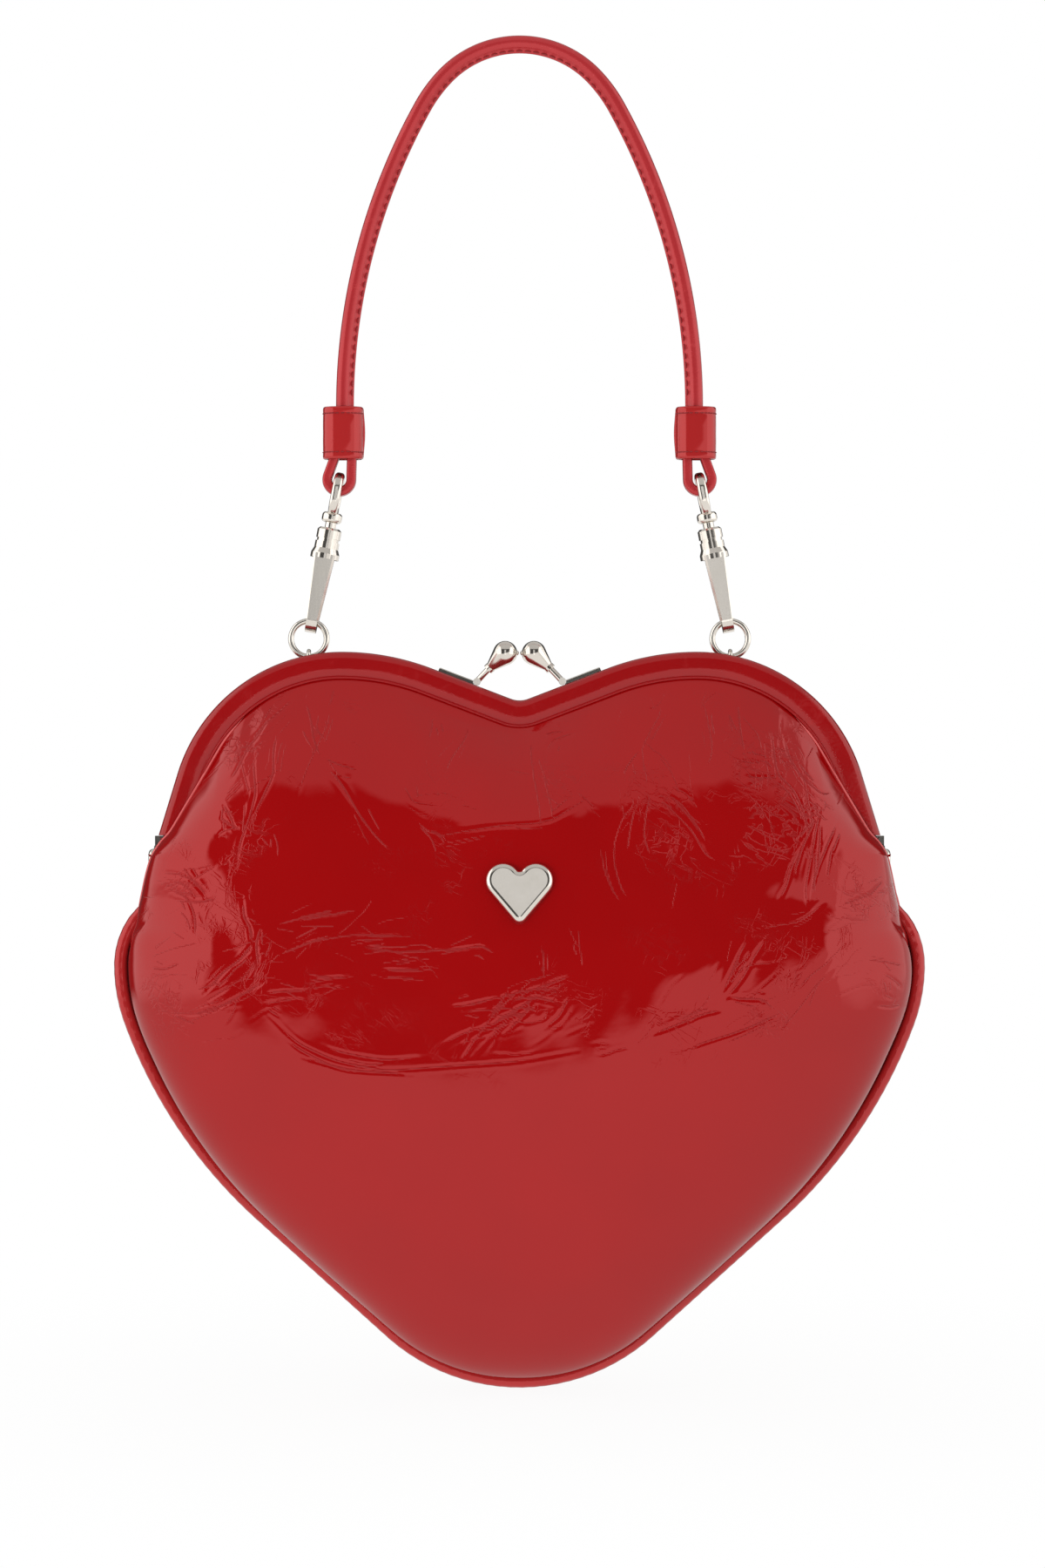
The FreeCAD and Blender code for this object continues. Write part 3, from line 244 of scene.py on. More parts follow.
def maths(tree, operation, first, second=0.0):
    return add(tree, "ShaderNodeMath", {0: first, 1: second}, operation=operation).outputs[0]


def times(tree, first, second):
    return maths(tree, "MULTIPLY", first, second)


def plus(tree, first, second):
    return maths(tree, "ADD", first, second)


def step_between(tree, value, low, high):
    """0 below low, 1 above high, smooth between."""
    inputs = {"Value": value, "From Min": low, "From Max": high}
    node = add(tree, "ShaderNodeMapRange", inputs, interpolation_type="SMOOTHSTEP")
    return node.outputs["Result"]


def noise(tree, vector, scale, detail=3.0, rough=0.5, distortion=0.0):
    inputs = {"Vector": vector, "Scale": scale, "Detail": detail}
    inputs.update({"Roughness": rough, "Distortion": distortion})
    return add(tree, "ShaderNodeTexNoise", inputs).outputs["Fac"]


# %% [markdown]
# Studio. Patent leather is a mirror over red, so what it reflects matters more than its lamps. The world is
# plain white to the camera and an even fill to matt surfaces. To gloss it is a photo studio: a soft box
# above, one at each side, a white floor, and darkness round the camera, which the front of the pouch shows
# as its dark middle. The floor's light reaches higher at the right, which gives that dark its slanting lower
# border. Panels of light could be meshes, but a world needs no geometry.

# %% Studio light
ABOVE, BELOW, SIDE_BOX, DARK = 0.54, 0.9, 1.5, 0.07
ABOVE_EDGE, FLOOR_EDGE, LEFT_EDGE, RIGHT_EDGE = (0.56, 0.64), (0.11, 0.18), (0.57, 0.63), (0.63, 0.7)
SIDE_BACK, SIDE_FOOT = (0.5, 0.3), (-0.4, -0.05)
FLOOR_LIFT, LIFT_START = 0.45, -0.1
FILL, WHITE, WARM_WHITE = 0.92, (1, 1, 1, 1), (1, 0.985, 0.97, 1)
KEY_PLACE, KEY_AIM, KEY_SIZE, KEY_POWER = (-0.3, -1.0, -0.3), (0, 0, -0.28), (0.7, 0.12), 4
CARD_PLACE, CARD_AIM, CARD_SIZE, CARD_POWER = (0.02, -1.4, 0.05), (0.02, 0, 0.05), (0.34, 1.1), 0.85


def make_studio():
    world = bpy.data.worlds.new("studio")
    scene.world = world
    world.use_nodes = True
    tree = world.node_tree
    tree.nodes.clear()
    direction = add(tree, "ShaderNodeTexCoord").outputs["Generated"]
    x, y, z = add(tree, "ShaderNodeSeparateXYZ", {0: direction}).outputs
    above = times(tree, step_between(tree, z, *ABOVE_EDGE), ABOVE)
    lift = maths(tree, "MAXIMUM", maths(tree, "SUBTRACT", x, LIFT_START), 0.0)
    lift = times(tree, lift, FLOOR_LIFT)
    down = maths(tree, "SUBTRACT", lift, z)
    below = times(tree, step_between(tree, down, *FLOOR_EDGE), BELOW)
    left = step_between(tree, times(tree, x, -1.0), *LEFT_EDGE)
    sides = maths(tree, "MAXIMUM", left, step_between(tree, x, *RIGHT_EDGE))
    sides = times(tree, sides, step_between(tree, y, *SIDE_BACK))
    sides = times(tree, sides, step_between(tree, z, *SIDE_FOOT))
    sides = times(tree, sides, SIDE_BOX)
    bright = maths(tree, "MAXIMUM", maths(tree, "MAXIMUM", above, below), sides)
    gloss = plus(tree, bright, DARK)
    path = add(tree, "ShaderNodeLightPath")
    seen = add(tree, "ShaderNodeBackground", {"Color": WHITE, "Strength": 1.0})
    mirror = add(tree, "ShaderNodeBackground", {"Color": WARM_WHITE, "Strength": gloss})
    fill = add(tree, "ShaderNodeBackground", {"Color": WHITE, "Strength": FILL})
    inputs = {0: path.outputs["Is Glossy Ray"], 1: fill.outputs[0], 2: mirror.outputs[0]}
    lit = add(tree, "ShaderNodeMixShader", inputs)
    inputs = {0: path.outputs["Is Camera Ray"], 1: lit.outputs[0], 2: seen.outputs[0]}
    shown = add(tree, "ShaderNodeMixShader", inputs)
    add(tree, "ShaderNodeOutputWorld", {"Surface": shown.outputs[0]})


def add_area(name, place, aim, size, power):
    """A lamp of a width and a height that shines towards a point and isn't seen itself."""
    light = bpy.data.lights.new(name, "AREA")
    light.shape = "RECTANGLE"
    light.size, light.size_y = size
    light.energy = power
    lamp = bpy.data.objects.new(name, light)
    scene.collection.objects.link(lamp)
    lamp.location = place
    lamp.rotation_mode = "QUATERNION"
    lamp.rotation_quaternion = (Vector(aim) - Vector(place)).to_track_quat("-Z", "Y")
    lamp.visible_camera = False
    return lamp


make_studio()
key_light = add_area("key_light", KEY_PLACE, KEY_AIM, KEY_SIZE, KEY_POWER)
key_light.visible_glossy = False
metal_card = add_area("metal_card", CARD_PLACE, CARD_AIM, CARD_SIZE, CARD_POWER)
metal_pieces = bpy.data.collections.new("metal_pieces")
metal_card.light_linking.receiver_collection = metal_pieces
print("lamps", key_light.name, "and", metal_card.name, "for the metal alone")

# %% [markdown]
# Floor. The photograph has a white ground with hardly a shadow. A matt white plane under the tip catches the
# purse's soft shadow. Most of what the camera sees of it is plain white, mixed in by Light Path, so that the
# ground stays white without more light on the purse, and away from the purse all of it is. The purse's own
# light and gloss look past it at the studio's white floor.

# %% Floor
FLOOR_REACH, FLOOR_GAP = 2.0, 0.0004
FLOOR_WHITE, SHADOW_NEAR, SHADOW_FAR = 0.93, 0.06, 0.3
PAPER_DARK, PAPER_LIGHT, PAPER_SPECKS = (0.9, 0.9, 0.89, 1), (0.95, 0.95, 0.94, 1), 400.0


def make_floor():
    low = cad_box[0].z - FLOOR_GAP
    corners = [(x * FLOOR_REACH, y * FLOOR_REACH, 0) for x, y in ((-1, -1), (1, -1), (1, 1), (-1, 1))]
    mesh = bpy.data.meshes.new("floor")
    mesh.from_pydata(corners, [], [(0, 1, 2, 3)])
    floor = bpy.data.objects.new("floor", mesh)
    floor.location.z = low
    scene.collection.objects.link(floor)
    paper = bpy.data.materials.new("floor_paper")
    paper.use_nodes = True
    tree = paper.node_tree
    tree.nodes.clear()
    where = add(tree, "ShaderNodeTexCoord").outputs["Object"]
    tone = add(tree, "ShaderNodeMix", {0: noise(tree, where, PAPER_SPECKS)}, data_type="RGBA")
    tone.inputs[6].default_value = PAPER_DARK
    tone.inputs[7].default_value = PAPER_LIGHT
    matt = add(tree, "ShaderNodeBsdfDiffuse", {"Color": tone.outputs[2]})
    white = add(tree, "ShaderNodeEmission", {"Color": WHITE, "Strength": 1.0})
    away = add(tree, "ShaderNodeVectorMath", {0: where}, operation="LENGTH").outputs["Value"]
    away = step_between(tree, away, SHADOW_NEAR, SHADOW_FAR)
    white_share = maths(tree, "MULTIPLY_ADD", away, 1 - FLOOR_WHITE)
    white_share.node.inputs[2].default_value = FLOOR_WHITE
    seen = add(tree, "ShaderNodeLightPath").outputs["Is Camera Ray"]
    seen = times(tree, seen, white_share)
    mixed = add(tree, "ShaderNodeMixShader", {0: seen, 1: matt.outputs[0], 2: white.outputs[0]})
    add(tree, "ShaderNodeOutputMaterial", {"Surface": mixed.outputs[0]})
    mesh.materials.append(paper)
    floor.visible_glossy = False
    floor.visible_diffuse = False


make_floor()
print("floor at", round(cad_box[0].z - FLOOR_GAP, 4))

# %% [markdown]
# Crackled patent film. Patent leather is leather under a clear glossy film, and on this purse it was
# crumpled, so the film broke into fine lines in places. They are the level lines of two stretched noises
# that cross each other, kept to patches. Longer creases are modelled in the mesh, which also paints where
# the film is broken. A broken film is rough, so a line shows dark in a bright reflection and bright in a
# dark one.

# %% Patent film group
def new_group(name, inputs):
    """An empty group with its input sockets, and the three outputs that every finish here uses."""
    group = bpy.data.node_groups.new(name, "ShaderNodeTree")
    group.interface.new_socket("Vector", in_out="INPUT", socket_type="NodeSocketVector")
    for socket, value in inputs:
        made = group.interface.new_socket(socket, in_out="INPUT", socket_type="NodeSocketFloat")
        made.default_value = value
    for socket in ("Shade", "Roughness", "Height"):
        group.interface.new_socket(socket, in_out="OUTPUT", socket_type="NodeSocketFloat")
    return group, group.nodes.new("NodeGroupInput")


def give(group, shade, rough, height):
    """Links a group's results to its outputs."""
    result = group.nodes.new("NodeGroupOutput")
    for socket, value in (("Shade", shade), ("Roughness", rough), ("Height", height)):
        group.links.new(value, result.inputs[socket])
    return group


LINE_TURNS, LINE_STRETCH, LINE_EDGE = ((0.2, 0.3, 0.0), (-0.3, -1.0, 0.4)), (0.005, 0.005, 0.016), 0.03
CREASE_LINE, CRACKLE_PATCH = (0.9, 0.99), (0.5, 0.62)
PATCH_SCALE, PEEL_SCALE, SWELL_SCALE, SHADE_SCALE = 60.0, 220.0, 26.0, 34.0
# The middle one of these darkens the colour where the film is broken: painted shade in creases and cracks.
BROKEN_DEPTH, BROKEN_PAINTED_SHADE, BROKEN_ROUGH = 0.7, 0.5, 0.5


def film_group():
    """Crackle net in patches, creases from the mesh, a faint orange peel, and painted shade along the broken
    lines.
    """
    group, given = new_group("patent_film", [("Crackle", 0.3), ("Crease", 0.0)])
    where = given.outputs["Vector"]
    lines = []
    for turn in LINE_TURNS:
        inputs = {"Vector": where, "Rotation": turn, "Scale": LINE_STRETCH}
        stretched = add(group, "ShaderNodeMapping", inputs, vector_type="TEXTURE").outputs[0]
        level = maths(group, "SUBTRACT", noise(group, stretched, 1.0, 3.0, 0.6, 0.6), 0.5)
        lines.append(step_between(group, maths(group, "ABSOLUTE", level), LINE_EDGE, 0.0))
    net = maths(group, "MAXIMUM", *lines)
    crease = step_between(group, given.outputs["Crease"], *CREASE_LINE)
    patches = step_between(group, noise(group, where, PATCH_SCALE, 2.0), *CRACKLE_PATCH)
    marks = times(group, times(group, net, patches), given.outputs["Crackle"])
    peel = times(group, noise(group, where, PEEL_SCALE, 2.0), 0.1)
    swell = times(group, noise(group, where, SWELL_SCALE, 2.0), 0.5)
    height = plus(group, peel, swell)
    broken = maths(group, "MAXIMUM", marks, crease)
    height = maths(group, "SUBTRACT", height, times(group, broken, BROKEN_DEPTH))
    # The colour is darker along creases and cracks: painted shade in them.
    shade = plus(group, times(group, noise(group, where, SHADE_SCALE, 4.0), 0.5), 0.25)
    shade = maths(group, "SUBTRACT", shade, times(group, broken, BROKEN_PAINTED_SHADE))
    rough = plus(group, times(group, broken, BROKEN_ROUGH), times(group, peel, 0.2))
    return give(group, shade, rough, height)


GROUPS = {"film": film_group()}
print("made group", GROUPS["film"].name)

# %% [markdown]
# Leather grain. The handle, the frame's cover and the cut edges are smooth calf leather with pores finer
# than a millimetre and faint scuffs. A smooth Voronoi gives the cells between pores, and two noises give the
# uneven finish. The same group serves each of these leathers with other colours.

# %% Leather grain group
CELL_SCALE, PORE_SCALE, SCUFF_SCALE, TONE_SCALE = 1500.0, 1100.0, 90.0, 60.0
SCUFF_EDGE = (0.56, 0.68)


def grain_group():
    """Pores, scuffs and an uneven tone."""
    group, given = new_group("leather_grain", [])
    where = given.outputs["Vector"]
    cells = add(group, "ShaderNodeTexVoronoi", {"Vector": where, "Scale": CELL_SCALE}, feature="SMOOTH_F1")
    pores = noise(group, where, PORE_SCALE, 4.0, 0.6)
    height = plus(group, times(group, cells.outputs["Distance"], 0.5), pores)
    scuffs = step_between(group, noise(group, where, SCUFF_SCALE, 5.0, 0.7, 2.0), *SCUFF_EDGE)
    shade = plus(group, times(group, noise(group, where, TONE_SCALE, 4.0), 0.6), 0.2)
    shade = plus(group, shade, times(group, scuffs, 0.3))
    rough = times(group, plus(group, scuffs, pores), 0.1)
    return give(group, shade, rough, height)


GROUPS["grain"] = grain_group()
print("made group", GROUPS["grain"].name)

# %% [markdown]
# Polished plate. Hooks, rings, rivets and clasp are nickel plated. Polished plate is never quite even: it
# keeps faint lines from drawing and smudges from fingers, which only show in how sharp a reflection is. So
# this group mostly drives roughness. The frame's bare steel uses it with stronger lines.

# %% Polished plate group
DRAWN_SCALE, SMUDGE_SCALE = (3000, 3000, 120), 240.0


def plate_group():
    """Drawn lines and smudges."""
    group, given = new_group("polished_plate", [("Drawn", 0.1)])
    where = given.outputs["Vector"]
    stretch = add(group, "ShaderNodeMapping", {"Vector": where, "Scale": DRAWN_SCALE})
    drawn = times(group, noise(group, stretch.outputs[0], 1.0, 2.0), given.outputs["Drawn"])
    smudge = noise(group, where, SMUDGE_SCALE, 4.0, 0.6)
    rough = plus(group, times(group, smudge, 0.1), times(group, drawn, 0.5))
    return give(group, smudge, rough, drawn)


GROUPS["plate"] = plate_group()
print("made group", GROUPS["plate"].name)

# %% [markdown]
# Plain weave. Lining cloth, thread, cord and the board inside the pouch are all woven or pressed from
# threads. Two sine waves across each other are a plain weave at the right pitch, with noise for wear. A
# weave by coordinates needs no unwrapping, so it holds on any mesh.

# %% Plain weave group
WEAR_SCALE = 45.0


def weave_group():
    """Crossing threads, wear, and painted shade between the threads."""
    group, given = new_group("plain_weave", [("Pitch", 1400.0)])
    where = given.outputs["Vector"]
    axes = add(group, "ShaderNodeSeparateXYZ", {0: where}).outputs
    across = maths(group, "SINE", times(group, axes[0], given.outputs["Pitch"]))
    along = maths(group, "SINE", times(group, axes[2], given.outputs["Pitch"]))
    height = plus(group, maths(group, "ABSOLUTE", across), maths(group, "ABSOLUTE", along))
    wear = noise(group, where, WEAR_SCALE, 4.0)
    # The raised threads are made lighter: painted shade in the hollows between them.
    shade = plus(group, times(group, wear, 0.6), times(group, height, 0.15))
    return give(group, shade, times(group, wear, 0.2), height)


GROUPS["weave"] = weave_group()
print("made group", GROUPS["weave"].name)

# %% [markdown]
# Materials. Each is one Principled shader: a group's shade mixes two colours, and its roughness and height
# make the gloss and the bump. In the photograph the leather's bright places are redder as well as lighter,
# because light also comes back from the coloured layer under the film. A little Metallic gives that: it
# tints a quarter of the reflection with the leather's own red.

# %% Materials
def linear(red, green, blue):
    """8-bit screen colour to linear."""
    shares = [value / 255 for value in (red, green, blue)]
    return [v / 12.92 if v < 0.0404 else ((v + 0.055) / 1.055) ** 2.4 for v in shares]


def finish_of(name, effect, dark, light, rough, bump, metal=0.0, options=None, painted=None):
    """A material from one of the groups. Its options are set, its painted inputs are read from the mesh."""
    made = bpy.data.materials.new(name)
    made.use_nodes = True
    tree = made.node_tree
    tree.nodes.clear()
    where = add(tree, "ShaderNodeTexCoord").outputs["Object"]
    group = add(tree, "ShaderNodeGroup", node_tree=GROUPS[effect])
    tree.links.new(where, group.inputs["Vector"])
    for socket, value in (options or {}).items():
        group.inputs[socket].default_value = value
    for socket, layer in (painted or {}).items():
        drawn = add(tree, "ShaderNodeAttribute", attribute_name=layer).outputs["Fac"]
        tree.links.new(drawn, group.inputs[socket])
    mix = add(tree, "ShaderNodeMix", {0: group.outputs["Shade"]}, data_type="RGBA")
    mix.inputs[6].default_value = (*linear(*dark), 1)
    mix.inputs[7].default_value = (*linear(*light), 1)
    roughness = plus(tree, group.outputs["Roughness"], rough)
    lumps = add(tree, "ShaderNodeBump", {"Height": group.outputs["Height"], "Distance": bump * MM})
    shader = add(tree, "ShaderNodeBsdfPrincipled", {"Base Color": mix.outputs[2], "Roughness": roughness})
    tree.links.new(lumps.outputs[0], shader.inputs["Normal"])
    shader.inputs["Metallic"].default_value = metal
    add(tree, "ShaderNodeOutputMaterial", {"Surface": shader.outputs[0]})
    return made


FILM_PAINT = {"Crackle": "crackle", "Crease": "crease"}
PLAIN_FILM = {"Crackle": 0.15}
PATENT = finish_of("red_patent", "film", (148, 3, 6), (168, 8, 10), 0.035, 0.14, 0.18, painted=FILM_PAINT)
TRIM_PATENT = finish_of("red_patent_trim", "film", (164, 26, 28), (184, 44, 44), 0.1, 0.1, 0.18, PLAIN_FILM)
HANDLE_LEATHER = finish_of("red_handle", "grain", (168, 32, 38), (190, 52, 56), 0.2, 0.02, 0.2)
COVER_LEATHER = finish_of("red_cover", "grain", (140, 3, 7), (160, 10, 14), 0.1, 0.025, 0.1)
CUT_EDGE = finish_of("cut_edge", "grain", (190, 60, 62), (214, 104, 102), 0.3, 0.03)
# Near-black red for the seam flange behind the piping: painted shadow in the groove.
SEAM_PAINTED_SHADOW = finish_of("seam_groove_painted_shadow", "grain", (74, 4, 8), (96, 10, 14), 0.6, 0.03)
THREAD = finish_of("thread", "weave", (118, 14, 18), (156, 40, 44), 0.55, 0.05, options={"Pitch": 5200.0})
NICKEL = finish_of("nickel", "plate", (214, 208, 198), (238, 232, 224), 0.06, 0.01, 1.0)
STEEL = finish_of("frame_steel", "plate", (112, 110, 106), (150, 148, 144), 0.25, 0.05, 1.0, {"Drawn": 0.7})
LINING = finish_of("lining_cloth", "weave", (66, 6, 10), (112, 18, 24), 0.5, 0.08)
CORD = finish_of("cord", "weave", (176, 164, 140), (206, 196, 174), 0.8, 0.15, options={"Pitch": 2400.0})
BOARD = finish_of("board", "weave", (168, 160, 146), (196, 188, 174), 0.8, 0.04, options={"Pitch": 4200.0})
print("materials made:", len(bpy.data.materials))

# %% [markdown]
# Mesh helpers. Every soft piece here is a grid of points in some way: a band swept along a path, a tube, or
# a sheet with thickness. Building the points with numpy and handing Blender the finished faces is faster
# than modelling step by step, and every edge is closed, so each piece is a solid skin.

# %% Mesh helpers
def mesh_object(name, points, faces, surface):
    """A smooth mesh in the row frame from hinge millimetres."""
    mesh = bpy.data.meshes.new(name)
    mesh.from_pydata(row(points).tolist(), [], faces)
    mesh.update()
    mesh.shade_smooth()
    made = bpy.data.objects.new(name, mesh)
    scene.collection.objects.link(made)
    mesh.materials.append(surface)
    return made


def grid_faces(rows, columns, closed=False, start=0):
    """Four-sided faces between rows of points, each row closed to a ring or open."""
    faces = []
    for r in range(rows - 1):
        for c in range(columns if closed else columns - 1):
            d = (c + 1) % columns
            a, b = start + r * columns, start + (r + 1) * columns
            faces.append((a + c, a + d, b + d, b + c))
    return faces


def tube_faces(count, around, start=0):
    """Faces of a tube of closed rings and of its two ends."""
    last = start + (count - 1) * around
    ends = [tuple(range(start, start + around))[::-1], tuple(range(last, last + around))]
    return grid_faces(count, around, True, start) + ends


def rings_object(name, rings, surface, looped=False):
    """Closed rings joined into one skin: its ends are closed, or joined to each other where looped."""
    rings = np.asarray(rings, float)
    count, around = rings.shape[:2]
    faces = tube_faces(count, around)
    if looped:
        last = (count - 1) * around
        faces[-2:] = [(last + i, last + (i + 1) % around, (i + 1) % around, i) for i in range(around)]
    return mesh_object(name, rings.reshape(-1, 3), faces, surface)


def flat_sweep(points, normals, profile, plane=0.0):
    """Rings of a profile of (depth, y) swept along a path in the x-z plane."""
    profile = np.asarray(profile, float)
    rings = np.zeros((len(points), len(profile), 3))
    rings[:, :, 0] = points[:, None, 0] + normals[:, None, 0] * profile[None, :, 0]
    rings[:, :, 2] = points[:, None, 1] + normals[:, None, 1] * profile[None, :, 0]
    rings[:, :, 1] = plane + profile[None, :, 1]
    return rings


def tube_rings(path, radii, around=12):
    """Rings round any path, turning as little as possible."""
    path = np.asarray(path, float)
    radii = np.broadcast_to(radii, len(path))
    tangents = unit_ways(path)
    side = np.cross(tangents[0], (0.3, 0.5, 0.8))
    angles = np.linspace(0, 2 * math.pi, around, endpoint=False)[:, None]
    rings = []
    for point, tangent, radius in zip(path, tangents, radii):
        side = side - tangent * (side @ tangent)
        side /= np.linalg.norm(side)
        other = np.cross(tangent, side)
        rings.append(point + (np.cos(angles) * side + np.sin(angles) * other) * radius)
    return np.array(rings)


print("mesh helpers ready")

# %% [markdown]
# Sheets with thickness. The outside of a leather panel needs a very fine grid for its creases, while its
# inside is hidden. A Solidify modifier would double all the points. Here the inside is a coarse grid, and
# the cells along its border take in every fine point of the edge, so the skin is closed all the same.

# %% Sheets with thickness
def edge_loop(rows, columns):
    """Places of the border once round."""
    loop = [(0, c) for c in range(columns)]
    loop += [(r, columns - 1) for r in range(1, rows)]
    loop += [(rows - 1, c) for c in range(columns - 2, -1, -1)]
    return loop + [(r, 0) for r in range(rows - 2, 0, -1)]


def shell_object(name, outer, inner, step, facing, surface):
    """A closed sheet from its outside and inside grids. The inside keeps every step-th row and column."""
    rows, columns = outer.shape[:2]
    loop = edge_loop(rows, columns)
    count = rows * columns
    inside = {place: count + index for index, place in enumerate(loop)}
    hidden = []
    for r in range(step, rows - 1, step):
        for c in range(step, columns - 1, step):
            inside[r, c] = count + len(loop) + len(hidden)
            hidden.append(inner[r, c])
    faces = grid_faces(rows, columns)
    for index, (r, c) in enumerate(loop):
        after = loop[(index + 1) % len(loop)]
        faces.append((after[0] * columns + after[1], r * columns + c, inside[r, c], inside[after]))
    for r in range(0, rows - 1, step):
        for c in range(0, columns - 1, step):
            below, beside = r + step, c + step
            cell = [(r, i) for i in range(c, beside)]
            cell += [(i, beside) for i in range(r, below)]
            cell += [(below, i) for i in range(beside, c, -1)]
            cell += [(i, c) for i in range(below, r, -1)]
            faces.append(tuple(inside[place] for place in cell[::-1] if place in inside))
    rim = np.array([inner[place] for place in loop])
    points = np.vstack([outer.reshape(-1, 3), rim, np.array(hidden)])
    if facing < 0:
        points[:, 1] *= -1
        faces = [face[::-1] for face in faces]
    return mesh_object(name, points, faces, surface)


print("sheet helper ready")

# %% [markdown]
# Form of the pouch. Each half of the pouch is a leather panel that swells like a pillow between the frame
# and the piping. Level oval rows give that swell, wider and fuller towards the middle, and curves between
# the rows give the fine grid. A cloth simulation would find such a form too, but not at the places that the
# photograph shows, so the rows are shaped directly.

# %% Form of the pouch
BULGE, BULGE_DROP = 33, 42
FLAP_START, FLAP_END_HEIGHT = 80.5, 5
TOP_LOSS, TIP_FULLNESS, TIP_ROUNDNESS = 0.16, 2.6, 0.62
SIDE_FULLNESS, SIDE_ROUNDNESS = 0.92, 0.8
SEAM_GAP, RIM_OVERLAP, OPENING_DROP = 0.6, 0.3, 14
ROWS_PER_LEG, RISE_SHARES = 4, (1.0, 0.8, 0.6, 0.4, 0.2)
EVEN_ANGLES = 0.5


def bulge_at(z):
    """How far the panel's middle stands out at a height."""
    if z >= -BULGE_DROP:
        return BULGE * (1 - TOP_LOSS * ((z + BULGE_DROP) / BULGE_DROP) ** 2)
    fall = min((-BULGE_DROP - z) / (-BULGE_DROP - panel_tip_z), 1)
    return BULGE * (1 - fall ** TIP_FULLNESS) ** TIP_ROUNDNESS


def seam_depth(z):
    """Distance of the panel's side edge from the middle plane: by the seam below, before the frame above."""
    opened = float(ramp(z, -OPENING_DROP, OPENING_DROP))
    return SEAM_GAP + (PARTING + RIM_DEPTH - RIM_OVERLAP) * opened


def column_angles(columns):
    """Angles across a row, between even steps of angle and even steps of width."""
    share = np.linspace(-1, 1, columns)
    return EVEN_ANGLES * share * math.pi / 2 + (1 - EVEN_ANGLES) * np.arcsin(share)


def level_row(angles, half_width, z, inset, edge):
    """An oval row of points at one height."""
    across = np.sin(angles)
    x = (half_width - inset) * np.sign(across) * np.abs(across) ** SIDE_FULLNESS
    deep = bulge_at(z) - inset - edge
    y = -edge - deep * np.maximum(np.cos(angles), 0) ** SIDE_ROUNDNESS
    return np.column_stack([x, y, np.full(len(angles), z)])


def rim_height(x, depth):
    """Height of the frame's edge at a depth below the crest."""
    line = crest + crest_normals * depth
    order = np.argsort(line[:, 0])
    return np.interp(np.abs(x), line[order, 0], line[order, 1])


def side_places(stop_share):
    """Half widths and heights down the pouch, as far as a share of the tip's arc."""
    lengths = [leg_length(leg) for leg in OUTLINE_LEGS]
    lengths[-1] *= stop_share
    marks = []
    for index, length in enumerate(lengths):
        marks += list(sum(lengths[:index]) + length * np.arange(ROWS_PER_LEG) / ROWS_PER_LEG)
    marks.append(sum(lengths))
    return read_off(panel_line, lengths_along(outline), marks).tolist()


def refine(keys, count):
    """Rows between key rows, on cubic curves."""
    keys = np.asarray(keys)
    gaps = np.linalg.norm(np.diff(keys, axis=0), axis=2).mean(axis=1)
    at = np.concatenate([[0], np.cumsum(gaps)])
    slopes = np.gradient(keys.reshape(len(keys), -1), at, axis=0).reshape(keys.shape)
    wanted = np.linspace(0, at[-1], count)
    index = np.clip(np.searchsorted(at, wanted, side="right") - 1, 0, len(at) - 2)
    span = (at[index + 1] - at[index])[:, None, None]
    t = ((wanted - at[index]) / (at[index + 1] - at[index]))[:, None, None]
    first, last = keys[index], keys[index + 1]
    lead, trail = slopes[index] * span, slopes[index + 1] * span
    return (
        (2 * t ** 3 - 3 * t ** 2 + 1) * first
        + (t ** 3 - 2 * t ** 2 + t) * lead
        + (3 * t ** 2 - 2 * t ** 3) * last
        + (t ** 3 - t ** 2) * trail
    )


def rows_to_frame(top, low):
    """Key rows from the frame's edge down to the row at the hinge."""
    made = []
    for share in RISE_SHARES:
        between = low + (top - low) * share
        between[:, 1] = top[:, 1] + (low[:, 1] - top[:, 1]) * math.cos(math.pi / 2 * share)
        made.append(between)
    return made


def rows_below(angles, hinge_width, stop_share, inset, edge_of):
    """Key rows from the hinge down to the tip."""
    sides = side_places(stop_share)
    first_x, first_z = sides[0]
    places = [(hinge_width + (first_x - hinge_width) * s, first_z * s) for s in (0, 1 / 3, 2 / 3)]
    return [level_row(angles, x, z, inset, edge_of(z)) for x, z in places + sides]


print("pouch swells to", BULGE, "mm")

# %% [markdown]
# Edges of the pouch. Two things happen where the panel ends. Beside the hinge its free edge stands out over
# the piping in one straight line from the frame to the hip. Lower down the filled panel swells out past its
# own seam, so the seam shows only as a thin dark line beside the piping. Both are small outward moves of the
# points near the edge, which a crowned row alone can't give.

# %% Edges of the pouch
STAND_OUT, STAND_OUT_TOP, STAND_OUT_POWER = 2.4, 8, 9
SEAM_SWELL, TIP_SWELL, SWELL_RISE, SWELL_REACH = 1.0, 1.5, 1.2, 16
TOWARDS_TIP, BELOW_OPENING = (40, 70), (OPENING_DROP, 12)
HINGE_CLEARANCE, FLAP_SHORT, PANEL_STOP = 2.5, 1.4, 0.93
RIM_TUCK, RIM_TUCK_LOSS, FLAP_DROP = 1.2, 1.5, 0.3
PANEL_FRONT, FLAP_FRONT, FLAP_END_FRONT = 5.4, 1.0, 1.4
TUCK_LOSS_AT, FLAP_AT, FLAP_END_AT = (68, 10), (70, 8), (84, 10)
CHUNK = 4000


def stand_out(sheet):
    """Free edge beside the hinge."""
    x, z = sheet[:, :, 0], sheet[:, :, 2]
    more = STAND_OUT * ramp(-z, -STAND_OUT_TOP, STAND_OUT_TOP)
    more = more * (1 - ramp(-z, OPENING_DROP, OPENING_DROP))
    edge = np.maximum(np.abs(x[:, :1]), np.abs(x[:, -1:]))
    x += np.sign(x) * more * (np.abs(x) / edge) ** STAND_OUT_POWER


